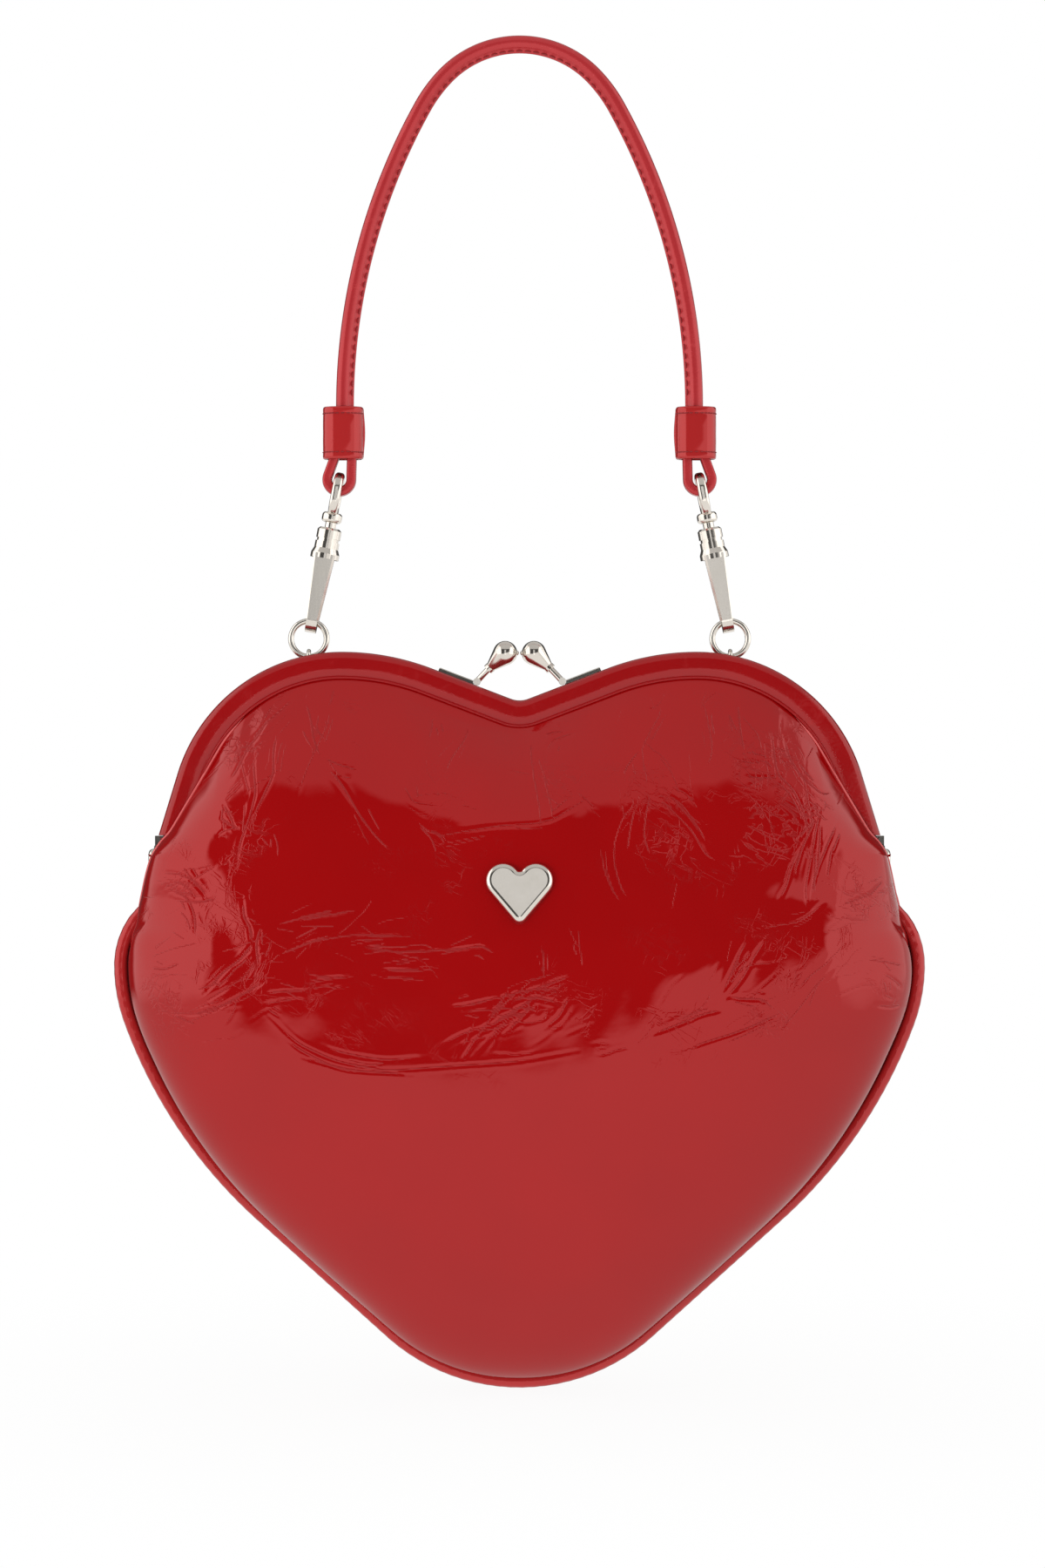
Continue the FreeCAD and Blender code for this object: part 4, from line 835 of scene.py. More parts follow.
def swell_over_seam(sheet):
    """Panel pushed out past its seam, most at the tip."""
    flat = sheet.reshape(-1, 3)
    for start in range(0, len(flat), CHUNK):
        part = flat[start:start + CHUNK]
        low = part[:, 2] < -OPENING_DROP
        if not low.any():
            continue
        place = np.column_stack([np.abs(part[low, 0]), part[low, 2]])
        nearest = ((place[:, None] - panel_line[None]) ** 2).sum(axis=2).argmin(axis=1)
        inward = outline_normals[nearest]
        gap = ((place - panel_line[nearest]) * inward).sum(axis=1)
        most = SEAM_SWELL + TIP_SWELL * ramp(-place[:, 1], *TOWARDS_TIP)
        most = most * ramp(-place[:, 1], *BELOW_OPENING)
        push = most * ramp(gap, 0, SWELL_RISE) * (1 - ramp(gap, SWELL_RISE, SWELL_REACH))
        side = np.where(part[low, 0] < 0, -1, 1)
        part[low, 0] -= side * inward[:, 0] * push
        part[low, 2] -= inward[:, 1] * push


def panel_sheet(columns, rows):
    """The outside of a front panel as a grid of rows and columns."""
    angles = column_angles(columns)
    hinge_width = hinge_x - HINGE_CLEARANCE
    low = rows_below(angles, hinge_width, PANEL_STOP, 0, seam_depth)
    reach = hinge_width - FLAP_SHORT
    x = reach * np.sin(angles)
    wide = np.abs(x)
    z = rim_height(wide, RIM_WIDTH) + RIM_TUCK - RIM_TUCK_LOSS * ramp(wide, *TUCK_LOSS_AT)
    flap_z = float(rim_height(FLAP_START, RIM_WIDTH)) - FLAP_DROP
    slope = (FLAP_END_HEIGHT - flap_z) / (reach - FLAP_START)
    z = np.where(wide < FLAP_START, z, flap_z + slope * (wide - FLAP_START))
    y = -PANEL_FRONT - FLAP_FRONT * ramp(wide, *FLAP_AT) - FLAP_END_FRONT * ramp(wide, *FLAP_END_AT)
    sheet = refine(rows_to_frame(np.column_stack([x, y, z]), low[0]) + low, rows)
    stand_out(sheet)
    swell_over_seam(sheet)
    return sheet


def outward(sheet):
    """Unit normals of a front sheet, out of the pouch."""
    normal = np.cross(np.gradient(sheet, axis=0), np.gradient(sheet, axis=1))
    return normal / np.maximum(np.linalg.norm(normal, axis=2), 1e-9)[:, :, None]


print("panel's seam runs", PANEL_INSET, "mm inside the piping's outline")

# %% [markdown]
# Creases. The leather was crumpled before it was sewn, and the creases stay where the purse bends: by the
# hinges, at the frame's corners and above the full lower part, which is smooth. The long ones are laid out
# as (x, y) corners on two enlarged views of the photograph: CREASE_UNIT times as large, from LEFT_START or
# RIGHT_START across and from CREASE_TOP down. The panel stands nearer to the camera than the hinge, for
# which NEARER allows. A noise texture could scatter lines, but their bundles and directions are what makes
# this leather look worn by hand.

# %% Creases
CREASES_LEFT = [
    [(500, 440), (505, 520), (515, 600), (490, 700), (460, 780), (440, 890)],
    [(590, 360), (575, 450), (580, 530), (540, 620), (490, 720)],
    [(560, 300), (520, 380), (480, 430), (440, 520), (410, 560)],
    [(650, 240), (600, 290), (540, 340), (470, 430)],
    [(690, 250), (715, 330), (725, 400), (760, 480)],
    [(790, 270), (780, 340), (740, 430), (700, 520), (665, 630)],
    [(745, 300), (735, 360), (775, 410)],
    [(760, 470), (830, 500), (900, 520)],
    [(770, 500), (830, 560), (900, 680), (960, 760), (1040, 840)],
    [(380, 690), (420, 720), (460, 740)],
    [(370, 760), (400, 740), (450, 730)],
    [(390, 640), (420, 690), (440, 740)],
    [(580, 740), (600, 790), (600, 850)],
    [(1060, 560), (1100, 640), (1210, 650)],
    [(1090, 680), (1150, 740), (1200, 760), (1300, 740), (1420, 720), (1560, 715)],
    [(1120, 720), (1170, 770), (1190, 830)],
    [(1170, 310), (1165, 370), (1155, 400)],
    [(1310, 340), (1290, 400), (1240, 470), (1215, 530)],
    [(150, 900), (220, 900), (290, 930), (340, 1000)],
    [(190, 960), (260, 990), (290, 1060), (290, 1140)],
    [(160, 960), (230, 930), (300, 990)],
    [(240, 870), (280, 930), (330, 980)],
    [(200, 1000), (300, 1010), (380, 990)],
    [(470, 1000), (475, 1060), (500, 1100), (510, 1160)],
    [(540, 1090), (520, 1160), (530, 1240)],
    [(100, 1220), (200, 1180), (330, 1150)],
    [(110, 1250), (170, 1260), (240, 1230)],
    [(330, 1340), (400, 1260), (470, 1210), (520, 1140)],
    [(300, 1390), (400, 1330), (480, 1280), (545, 1180)],
    [(250, 1430), (370, 1400), (480, 1340), (560, 1290)],
    [(130, 1410), (240, 1420), (350, 1420)],
    [(560, 1340), (640, 1330), (720, 1330)],
    [(550, 1380), (600, 1370), (680, 1360)],
    [(550, 1220), (570, 1170), (580, 1140)],
    [(600, 1200), (700, 1160), (810, 1120)],
    [(590, 1090), (700, 1060), (820, 1035)],
    [(880, 1120), (970, 1130), (1060, 1125)],
    [(900, 1160), (1040, 1170), (1140, 1155), (1190, 1180)],
    [(690, 1310), (800, 1285), (900, 1275)],
    [(990, 1250), (1100, 1260), (1210, 1240)],
    [(1180, 1200), (1280, 1175), (1350, 1160), (1410, 1195)],
    [(1230, 1385), (1320, 1380), (1400, 1355)],
    [(1370, 1430), (1430, 1380), (1500, 1320), (1560, 1270)],
    [(1390, 1450), (1470, 1400), (1560, 1350)],
    [(1200, 1530), (1290, 1480), (1400, 1450), (1480, 1400)],
    [(563, 1414), (672, 1523), (816, 1587), (995, 1622), (1229, 1603), (1478, 1587), (1693, 1549)],
    [(707, 1578), (870, 1622), (1085, 1632)],
    [(1478, 1280), (1408, 1398), (1318, 1523), (1280, 1587)],
    [(1712, 1280), (1549, 1344), (1443, 1434), (1334, 1558)],
    [(1245, 1389), (1408, 1354), (1549, 1318), (1658, 1325)],
    [(653, 1165), (886, 1120), (1139, 1130)],
    [(906, 1165), (1066, 1190), (1370, 1165)],
    [(976, 1254), (1155, 1245)],
    [(707, 1290), (851, 1274)],
    [(672, 1075), (906, 1030)],
]
CREASES_RIGHT = [
    [(590, 250), (575, 310), (540, 370), (505, 440), (520, 540), (535, 600)],
    [(500, 440), (460, 490), (435, 540)],
    [(735, 230), (755, 330), (770, 410), (765, 470), (740, 510)],
    [(870, 260), (875, 360), (890, 450)],
    [(100, 390), (95, 450), (105, 540), (125, 640), (135, 760)],
    [(150, 450), (180, 400), (270, 375)],
    [(0, 715), (100, 715), (180, 700), (260, 650), (340, 600)],
    [(440, 570), (480, 640), (430, 700), (400, 790), (405, 880), (430, 960), (470, 1010)],
    [(540, 590), (520, 680), (510, 760), (540, 850)],
    [(550, 600), (620, 670), (690, 740), (740, 830), (800, 860)],
    [(590, 600), (650, 640), (710, 720), (750, 800)],
    [(480, 650), (460, 740), (450, 820)],
    [(990, 330), (1000, 430), (1010, 530), (1070, 590), (1110, 680), (1130, 780)],
    [(1040, 380), (1060, 470), (1100, 540), (1180, 610), (1220, 600)],
    [(1180, 630), (1150, 740), (1130, 850), (1110, 960), (1120, 1040)],
    [(1240, 700), (1190, 800), (1150, 900), (1130, 1000)],
    [(1100, 790), (1060, 870), (1040, 950), (1010, 1000)],
    [(1160, 680), (1100, 800), (1070, 900)],
    [(850, 480), (920, 490), (970, 480), (1000, 520)],
    [(880, 540), (950, 545), (1020, 545)],
    [(1240, 1020), (1300, 1000), (1380, 970)],
    [(1260, 1040), (1330, 1040), (1390, 1010)],
    [(1270, 990), (1310, 1050)],
    [(1340, 1000), (1390, 950), (1410, 930)],
    [(920, 1110), (1000, 1090), (1080, 1080), (1130, 1050), (1190, 1000)],
    [(900, 1130), (860, 1200), (830, 1270), (800, 1340)],
    [(970, 1130), (920, 1200), (870, 1290), (800, 1370)],
    [(1230, 1240), (1150, 1310), (1100, 1380), (1060, 1430), (1000, 1480)],
    [(530, 1490), (640, 1450), (740, 1410), (800, 1400)],
    [(660, 1540), (760, 1510), (860, 1480), (960, 1440), (1040, 1400)],
    [(820, 1350), (880, 1360), (950, 1360), (1000, 1410)],
    [(270, 1080), (275, 1170), (285, 1250)],
    [(135, 1150), (145, 1280)],
    [(0, 1390), (80, 1330), (190, 1290), (250, 1270)],
    [(20, 1360), (110, 1350), (200, 1370)],
    [(100, 1350), (70, 1420), (0, 1480)],
    [(150, 1460), (200, 1420), (240, 1340)],
    [(1400, 1270), (1450, 1300), (1480, 1330)],
    [(1380, 1390), (1440, 1400), (1480, 1390)],
    [(1340, 1220), (1420, 1230), (1490, 1250)],
]
CREASE_UNIT, CREASE_TOP, NEARER = 3.2, 720, 0.975
LEFT_START, RIGHT_START = 130, 580
POINTS_BETWEEN = 8


def long_creases():
    """The listed creases, as smooth lines of hinge millimetres in x and z."""
    lines = []
    for laid_out, left in ((CREASES_LEFT, LEFT_START), (CREASES_RIGHT, RIGHT_START)):
        for corners in laid_out:
            corners = np.array(corners, float) / CREASE_UNIT + (left, CREASE_TOP)
            last = len(corners) - 1
            fine = np.linspace(0, last, POINTS_BETWEEN * last + 1)
            rounded = read_off(corners, np.arange(last + 1), fine)
            soften(rounded, 6)
            x = (rounded[:, 0] - PIXEL_X) * PIXEL
            z = (PIXEL_Y - rounded[:, 1]) * PIXEL
            lines.append(np.column_stack([x, z]) * NEARER)
    return lines


COMPANIONS, COMPANION_GAP, COMPANION_TURN = 2, (0.9, 3.0), 2.5


def beside(lines, seed):
    """Shorter, finer creases next to the long ones, so that they lie in bundles."""
    chance = random.Random(seed)
    made = []
    for line in lines:
        for _ in range(COMPANIONS):
            first = int(chance.uniform(0, 0.5) * len(line))
            part = line[first:first + max(6, int(chance.uniform(0.3, 0.5) * len(line)))]
            off = chance.choice((-1, 1)) * chance.uniform(*COMPANION_GAP)
            turn = chance.uniform(-COMPANION_TURN, COMPANION_TURN)
            way = unit_ways(part)
            side = np.column_stack([-way[:, 1], way[:, 0]])
            made.append(part + side * (off + turn * np.linspace(-0.5, 0.5, len(part)))[:, None])
    return made


STRAY_ZONES = (
    (-80, 26, 12, 18, 62, 20),
    (-96, -10, 9, 8, 20, 14),
    (-60, 40, 12, 8, 70, 12),
    (-80, -38, 20, 10, 30, 14),
    (-40, -22, 30, 8, 8, 12),
    (-20, 14, 20, 12, 150, 10),
    (40, 14, 14, 16, 110, 16),
    (74, 20, 10, 18, 105, 20),
    (94, -10, 8, 8, 160, 12),
    (66, -36, 22, 12, 35, 16),
    (8, -46, 22, 8, 20, 12),
    (30, 38, 26, 8, 80, 12),
)
STRAY_STEP, STRAY_STEPS, STRAY_SPREAD, STRAY_BEND = 0.5, (10, 36), 24, 5


def stray_creases(seed):
    """Short fine creases scattered over zones of x, z, width, height, direction and number."""
    chance = random.Random(seed)
    lines = []
    for middle_x, middle_z, wide, tall, angle, count in STRAY_ZONES:
        for _ in range(count):
            x, z = chance.gauss(middle_x, wide * 0.6), chance.gauss(middle_z, tall * 0.6)
            heading = math.radians(angle + chance.gauss(0, STRAY_SPREAD))
            line = []
            for _ in range(chance.randint(*STRAY_STEPS)):
                line.append((x, z))
                x += STRAY_STEP * math.cos(heading)
                z += STRAY_STEP * math.sin(heading)
                heading += math.radians(chance.gauss(0, STRAY_BEND))
            lines.append(np.array(line))
    return lines


front_creases = long_creases()
print("creases laid out:", len(front_creases))

# %% [markdown]
# Crumpled surface. A crease is a sharp valley with a raised lip on each side, which is why one shows as a
# dark and a light line together. Heights are added along the panel's normals: creases, slow waves where the
# leather is slack, and nothing near the stud. How near a crease is gets painted on the mesh too: the film
# turns that smooth value into a line finer than the grid. Displacing with a texture is the other way, but it
# knows nothing of where creases run.

# %% Crumpled surface
NEAR_REACH = 1.1
LIP, LIP_PLACE, LIP_WIDTH = 0.4, 2.1, 1.2
STRENGTHS, WIDTHS = (0.55, 1.1), (0.8, 1.3)
FADE_RATE, FADE_START = 5, 0.15
PAINT_LEAST, PAINT_AT_END = 0.93, 0.85
LONG_CREASE, BESIDE_CREASE, STRAY_CREASE = (0.12, 0.42, 1.0), (0.045, 0.38, 0.98), (0.03, 0.36, 0.96)
BUCKLES, RIPPLES, SWELLS = (7, 22, 60), (9, 9, 22), (5, 60, 120)
BUCKLE_HEIGHT, RIPPLE_HEIGHT, SWELL_HEIGHT = 0.24, 0.09, 0.2
STUD_HALF_WIDTH, STUD_HALF_HEIGHT, STUD_DROP, STUD_EDGE = 12.5, 11.5, 9.5, (0.9, 0.35)
SLACK_ABOVE, STILL_END = (-60, 30), 0.02


def crease_height(x, z, lines, depth, width, clear, seed):
    """Height of valleys with raised lips along the lines, and nearness to them: clear on a line, 0 away."""
    chance = random.Random(seed)
    height, nearness = np.zeros_like(x), np.zeros_like(x)
    for line in lines:
        strength = chance.uniform(*STRENGTHS)
        wide = width * chance.uniform(*WIDTHS)
        reach = max(5 * wide, 2 * NEAR_REACH)
        low, high = line.min(axis=0) - reach, line.max(axis=0) + reach
        near = (x > low[0]) & (x < high[0]) & (z > low[1]) & (z < high[1])
        if not near.any():
            continue
        place = np.column_stack([x[near], z[near]])
        index = ((place[:, None] - line[None]) ** 2).sum(axis=2).argmin(axis=1)
        way = np.gradient(line, axis=0)
        spacing = np.linalg.norm(way, axis=1)
        way = (way / spacing[:, None])[index]
        offset = place - line[index]
        along = np.maximum(np.abs((offset * way).sum(axis=1)) - 0.6 * spacing[index], 0)
        closest = np.hypot(offset[:, 0] * way[:, 1] - offset[:, 1] * way[:, 0], along)
        share = index / (len(line) - 1)
        fade = np.clip(np.minimum(share, 1 - share) * FADE_RATE + FADE_START, 0, 1)
        valley = np.exp(-((closest / wide) ** 2))
        lip = LIP * np.exp(-(((closest - LIP_PLACE * wide) / (LIP_WIDTH * wide)) ** 2))
        height[near] += depth * strength * fade * (lip - valley)
        painted = clear * (PAINT_LEAST + (1 - PAINT_LEAST) * min(strength, 1))
        painted = painted * (PAINT_AT_END + (1 - PAINT_AT_END) * fade)
        nearness[near] = np.maximum(nearness[near], painted * np.exp(-((closest / NEAR_REACH) ** 2)))
    return height, nearness


def waves(x, z, seed, count, shortest, longest):
    """Seeded sum of slow waves, about -1 to 1."""
    chance = random.Random(seed)
    total = np.zeros_like(x)
    for _ in range(count):
        angle, length = chance.uniform(0, math.pi), chance.uniform(shortest, longest)
        phase = chance.uniform(0, 2 * math.pi)
        total += np.sin(2 * math.pi / length * (x * math.cos(angle) + z * math.sin(angle)) + phase)
    return total / math.sqrt(count)


CRACKLE_SPOTS = (
    (-78, 22, 14, 26, 1.0),
    (-97, -12, 14, 10, 1.0),
    (-60, 42, 16, 12, 0.8),
    (78, 20, 14, 26, 1.0),
    (92, -12, 12, 10, 0.9),
    (58, 10, 22, 22, 0.8),
    (-78, -38, 30, 14, 0.7),
    (62, -40, 34, 16, 0.7),
    (10, -48, 26, 12, 0.6),
    (-14, -4, 18, 14, 0.5),
    (20, 18, 30, 10, 0.4),
)
CRACKLE_ABOVE, CRACKLE_BASE, SPOT_SHARE, SPOT_LEAST = (-62, 26), 0.1, 0.7, 0.3


def crackle_mask(x, z):
    """Where the film is crackled, from spots of x, z, width, height and weight."""
    upper = ramp(z, *CRACKLE_ABOVE)
    spots = np.zeros_like(x)
    for middle_x, middle_z, wide, tall, weight in CRACKLE_SPOTS:
        spot = np.exp(-(((x - middle_x) / wide) ** 2) - ((z - middle_z) / tall) ** 2)
        spots = np.maximum(spots, weight * spot)
    spots = SPOT_SHARE * spots * (SPOT_LEAST + (1 - SPOT_LEAST) * upper)
    return np.clip(CRACKLE_BASE * upper + spots, 0, 1)


def crumple(sheet, creases, seed):
    """Heights, nearness to creases, and how free of the stud a place is."""
    rows = len(sheet)
    x, z = sheet[:, :, 0], sheet[:, :, 2]
    upper = ramp(z, *SLACK_ABOVE)
    from_end = np.minimum(np.arange(rows), rows - 1 - np.arange(rows))[:, None]
    from_stud = np.hypot(x / STUD_HALF_WIDTH, (z + STUD_DROP) / STUD_HALF_HEIGHT)
    stud_room = ramp(from_stud, *STUD_EDGE)
    room = stud_room * ramp(from_end, 0, STILL_END * rows)
    height = waves(x, z, seed, *BUCKLES) * BUCKLE_HEIGHT + waves(x, z, seed + 1, *RIPPLES) * RIPPLE_HEIGHT
    height = height * upper + waves(x, z, seed + 2, *SWELLS) * SWELL_HEIGHT
    nearness = np.zeros_like(x)
    for lines, kind, draw in (
        (creases, LONG_CREASE, seed),
        (beside(creases, seed + 4), BESIDE_CREASE, seed + 5),
        (stray_creases(seed + 7), STRAY_CREASE, seed + 3),
    ):
        folds, near = crease_height(x, z, lines, *kind, draw)
        height = height + folds
        nearness = np.maximum(nearness, near)
    return height * room, nearness * room, stud_room


print("crackled spots:", len(CRACKLE_SPOTS))

# %% [markdown]
# Panels. The front panel has to move with two bodies: its lower part stays with the bag, and its upper edge
# is held by the front half of the frame, which opens. Here its transform is only baked into its mesh. The
# back panel is sewn to the half that stays with the bag.

# %% Panels
PANEL_THICKNESS, PANEL_SINK = 1.1, 0.25
INSIDE_STEP, FRONT_SEED, BACK_SEED = 10, 11, 23
BACK_GRID, BACK_SHIFT = (301, 221), (4, -6)


def paint(piece, name, values):
    """A value for each vertex that the material reads, 0 on the edge and the inside."""
    every = np.zeros(len(piece.data.vertices), np.float32)
    every[:values.size] = values.ravel()
    layer = piece.data.attributes.new(name, "FLOAT", "POINT")
    layer.data.foreach_set("value", every)


def pouch_panel(name, columns, rows, creases, seed, facing):
    """A crumpled leather panel. facing is 1 for the front and -1 for the back."""
    sheet = panel_sheet(columns, rows)
    x, z = sheet[:, :, 0], sheet[:, :, 2]
    height, nearness, stud_room = crumple(sheet, creases, seed)
    normal = outward(sheet)
    outer = sheet + normal * (height - PANEL_SINK)[:, :, None]
    inner = outer - normal * PANEL_THICKNESS
    made = shell_object(name, outer, inner, INSIDE_STEP, facing, PATENT)
    paint(made, "crackle", crackle_mask(x, z) * stud_room)
    paint(made, "crease", nearness)
    return made, outer


def follow_frame(piece):
    """Bakes a front piece's transform into its mesh."""
    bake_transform(piece)


front_grid = ((601, 451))
front_panel, front_sheet = pouch_panel("front_panel_leather", *front_grid, front_creases, FRONT_SEED, 1)
follow_frame(front_panel)
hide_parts("front_panel")
back_creases = [line * (-1, 1) + BACK_SHIFT for line in front_creases[::3]]
back_panel, back_sheet = pouch_panel("back_panel_leather", *BACK_GRID, back_creases, BACK_SEED, -1)
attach(back_panel, "bag")
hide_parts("back_panel")
print("panels", len(front_panel.data.vertices), len(back_panel.data.vertices), "vertices")

# %% [markdown]
# Cut edges. Where a panel leaves the frame and passes in front of the hinge, its edge is cut, not turned,
# and shows as a thin pale line. A slim tube along the panel's own border follows it exactly.

# %% Cut edges
EDGE_START_X, EDGE_END_Z, EDGE_POINTS = 74, -17, 110
EDGE_RADIUS, EDGE_SINK = 0.42, 0.2
TAPER_END, TAPER_RATE = 0.25, 8


def free_edge(sheet, side, facing):
    """Line along a panel's free edge, from the frame down to the piping."""
    top = sheet[0] if side > 0 else sheet[0, ::-1]
    edge = sheet[1:, -1] if side > 0 else sheet[1:, 0]
    line = np.vstack([top[top[:, 0] * side > EDGE_START_X], edge[edge[:, 2] > EDGE_END_Z]])
    gaps = lengths_along(line)
    line = read_off(line, gaps, np.linspace(0, gaps[-1], EDGE_POINTS))
    soften(line, 10)
    line[:, 1] += EDGE_SINK
    return line * (1, facing, 1)


share = np.linspace(0, 1, EDGE_POINTS)
taper = np.minimum(1, TAPER_END + TAPER_RATE * np.minimum(share, 1 - share))
for side, word in SIDES:
    for facing, sheet, which in ((1, front_sheet, "front"), (-1, back_sheet, "back")):
        rings = tube_rings(free_edge(sheet, side, facing), EDGE_RADIUS * taper)
        bead = rings_object(which + "_edge_" + word, rings, CUT_EDGE)
        if facing > 0:
            follow_frame(bead)
        else:
            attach(bead, "bag")
print("cut edges made")

# %% [markdown]
# Piping. A leather-covered cord is sewn into the seam all round the pouch. It is a round tube along the
# outline with a slight pinch where its cover was stitched, thinning to nothing behind the panels' free
# edges. The sewn flange behind it is a strip of its own in near-black red: painted shadow for the groove.

# %% Piping
PIPING_STEP, PIPING_TAIL, FLANGE_TAIL = 0.8, 9.5, 7.0
PINCH, PINCH_WIDTH = 0.10, 0.15
END_SIZE, THINNING = 0.55, 22
PUCKER, PUCKER_RATE = 0.015, 1.52
FLANGE = [(3.0, -0.35), (3.0, 0.35), (8.0, 0.35), (8.0, -0.35)]


def outline_from(reach):
    """The whole outline from hip to hip, with straight tails of that length."""
    heading = math.radians(HIP_HEADING)
    start = (HIP_START[0] - reach * math.cos(heading), HIP_START[1] - reach * math.sin(heading))
    return mirrored(*walk(start, HIP_HEADING, [("run", reach)] + OUTLINE_LEGS, PIPING_STEP), False)


def piping_piece():
    """A pinched cord that thins towards its ends."""
    path, normals = outline_from(PIPING_TAIL)
    angles = np.linspace(0, 2 * math.pi, 22, endpoint=False)
    radius = PIPING_RADIUS * (1 - PINCH * np.exp(-((np.cos(angles) - 1) / PINCH_WIDTH) ** 2))
    profile = np.column_stack([radius * np.cos(angles), radius * np.sin(angles)])
    rings = flat_sweep(path + normals * PIPING_RADIUS, normals, profile)
    centre = rings.mean(axis=1, keepdims=True)
    places = np.arange(len(path))
    from_end = np.minimum(places, places[::-1]) * PIPING_STEP
    size = np.clip(END_SIZE + from_end / THINNING, 0, 1)[:, None, None]
    pucker = 1 + PUCKER * np.sin(places * PUCKER_RATE)[:, None, None]
    return rings_object("piping_cord", centre + (rings - centre) * size * pucker, TRIM_PATENT)


piping = piping_piece()
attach(piping, "bag")
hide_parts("piping")
# The flange behind the piping is coloured as painted shadow in the groove.
seam_strip = rings_object("piping_seam_painted_shadow", flat_sweep(*outline_from(FLANGE_TAIL), FLANGE), SEAM_PAINTED_SHADOW)
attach(seam_strip, "bag")
print("piping made with", len(piping.data.vertices), "vertices")

# %% [markdown]
# Frame covers. The steel frame is wrapped in plain leather that is drawn tight: flat where the halves meet,
# rolled over the front, with a narrow lip along the lower edge that holds the panel. One profile swept along
# the crest is that wrap. Its ends are cut level above the hinge, so the side runs are measured out anew for
# each line of the profile. The back cover has two slots, in which the strap rings stand.

# %% Frame covers
COVER_END_HEIGHT, COVER_END_RINGS = 6.2, 40
SLOT_X, SLOT_HALF, SLOT_FLOOR = 57.3, 5.9, 1.32
ROLL, LONG_WAVE, SHORT_WAVE = 2.5, 0.06, 0.04


def cover_profile():
    """Depth below the crest and distance from the parting plane, once round."""
    turn = np.radians(np.linspace(0, 90, 9))
    flat = [(0.2, 0.25), (0.05, 0.45)] + [(0.0, y) for y in (0.7, 0.95, 1.6, 2.4, 3.1)]
    roll = [(ROLL - ROLL * math.cos(t), 3.65 + ROLL * math.sin(t)) for t in turn]
    hollow = [(4.2, 6.22), (6.2, 6.2), (6.45, 5.95), (6.6, 5.95)]
    lip = [(6.72, 6.2), (6.85, 6.4), (7.05, 6.46), (7.28, 6.36), (7.42, 6.1), (7.42, 5.75)]
    groove = [(7.3, 5.6), (5.6, 5.5), (5.4, 1.4), (7.4, 1.3)]
    foot = [(7.4, 0.5), (7.2, 0.15), (0.6, 0.12)]
    return np.array(flat + roll + hollow + lip + groove + foot)


def cover_piece(name, facing):
    """The leather round one half of the frame."""
    profile = cover_profile()
    last = math.ceil(CREST_LEGS[-1][1] / CREST_STEP)
    bent, bent_normals = mirrored(crest[:-last], crest_normals[:-last], True)
    depth = np.repeat(profile[None, :, 0], len(bent), axis=0)
    out = np.repeat(profile[None, :, 1], len(bent), axis=0)
    if facing < 0:
        by_ring = (np.abs(np.abs(bent[:, 0]) - SLOT_X) < SLOT_HALF)[:, None]
        depth = np.where(by_ring & (out > 0.9) & (out < 5.5) & (depth < 1.3), SLOT_FLOOR, depth)
    places = np.arange(len(bent))[:, None]
    tight = LONG_WAVE * np.sin(places * 0.031 + 1.2) * np.sin(places * 0.071)
    tight = tight + SHORT_WAVE * np.sin(places * 0.19)
    out = out + np.where((out > 4) & (depth < 5), tight, 0)
    x = bent[:, None, 0] + bent_normals[:, None, 0] * depth
    z = bent[:, None, 1] + bent_normals[:, None, 1] * depth
    middle_rings = np.stack([x, -facing * out, z], axis=2)
    along = crest[-1] - crest[-2]
    along /= np.linalg.norm(along)
    foot = (COVER_END_HEIGHT - middle_rings[-1, :, 2]) / along[1]
    ends = []
    for part in np.linspace(0, 1, COVER_END_RINGS)[1:]:
        step = (foot * part)[:, None] * (along[0], 0, along[1])
        ends.append(middle_rings[-1] + step)
    left = [ring * (-1, 1, 1) for ring in ends[::-1]]
    return rings_object(name, np.concatenate([left, middle_rings, ends]), COVER_LEATHER)


front_cover = cover_piece("front_cover_leather", 1)
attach(front_cover, "front_half")
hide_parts("front_frame_cover")
back_cover = cover_piece("back_cover_leather", -1)
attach(back_cover, "bag")
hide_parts("back_frame_cover")
print("covers made with", len(front_cover.data.vertices), "vertices each")

# %% [markdown]
# Stitches. A sewn thread dips into the leather at both ends and stands proud between them. Each stitch is a
# short humped tube, and all the stitches of a seam are one mesh. A dashed texture would stay flat in side
# light.

# %% Stitches
STITCH_HUMP = ((-0.5, 0.35), (-0.42, 0.8), (-0.2, 1), (0.2, 1), (0.42, 0.8), (0.5, 0.35))
THREAD_SIDES = 6


def stitches_object(name, places, length, radius):
    """Short humped threads: each place is a middle, a direction and an outward way."""
    points, faces = [], []
    for centre, along, outside in np.asarray(places, float):
        spine = []
        for share, _ in STITCH_HUMP:
            lift = radius * (0.9 - 7 * abs(share) ** 3)
            spine.append(centre + along * share * length + outside * lift)
        rings = tube_rings(spine, np.array([size for _, size in STITCH_HUMP]) * radius, THREAD_SIDES)
        faces += tube_faces(len(STITCH_HUMP), THREAD_SIDES, len(points))
        points += rings.reshape(-1, 3).tolist()
    return mesh_object(name, points, faces, THREAD)


print("stitch helper ready")

# %% [markdown]
# Handle. A strip of leather is folded round a cord and sewn along its inner side, which leaves a narrow flat
# flange there. So its profile is a round roll with a flange, swept along the arch, and the stitches follow
# the flange on both faces. A bevelled curve would only give a plain round bar.

# %% Handle
CROWN_LEGS = [("right", 28.5, 46.5), ("right", 41, 14.5), ("right", 169, 29)]
ROLL_RADIUS, FLANGE_MIDDLE, FLANGE_FACE = 1.95, 2.4, 0.6
ARCH_STEP, KEEPER_COVER = 0.9, 4.2
STITCH_MARGIN, STITCH_PITCH, HANDLE_STITCH = 14, 2.5, (1.7, 0.22)


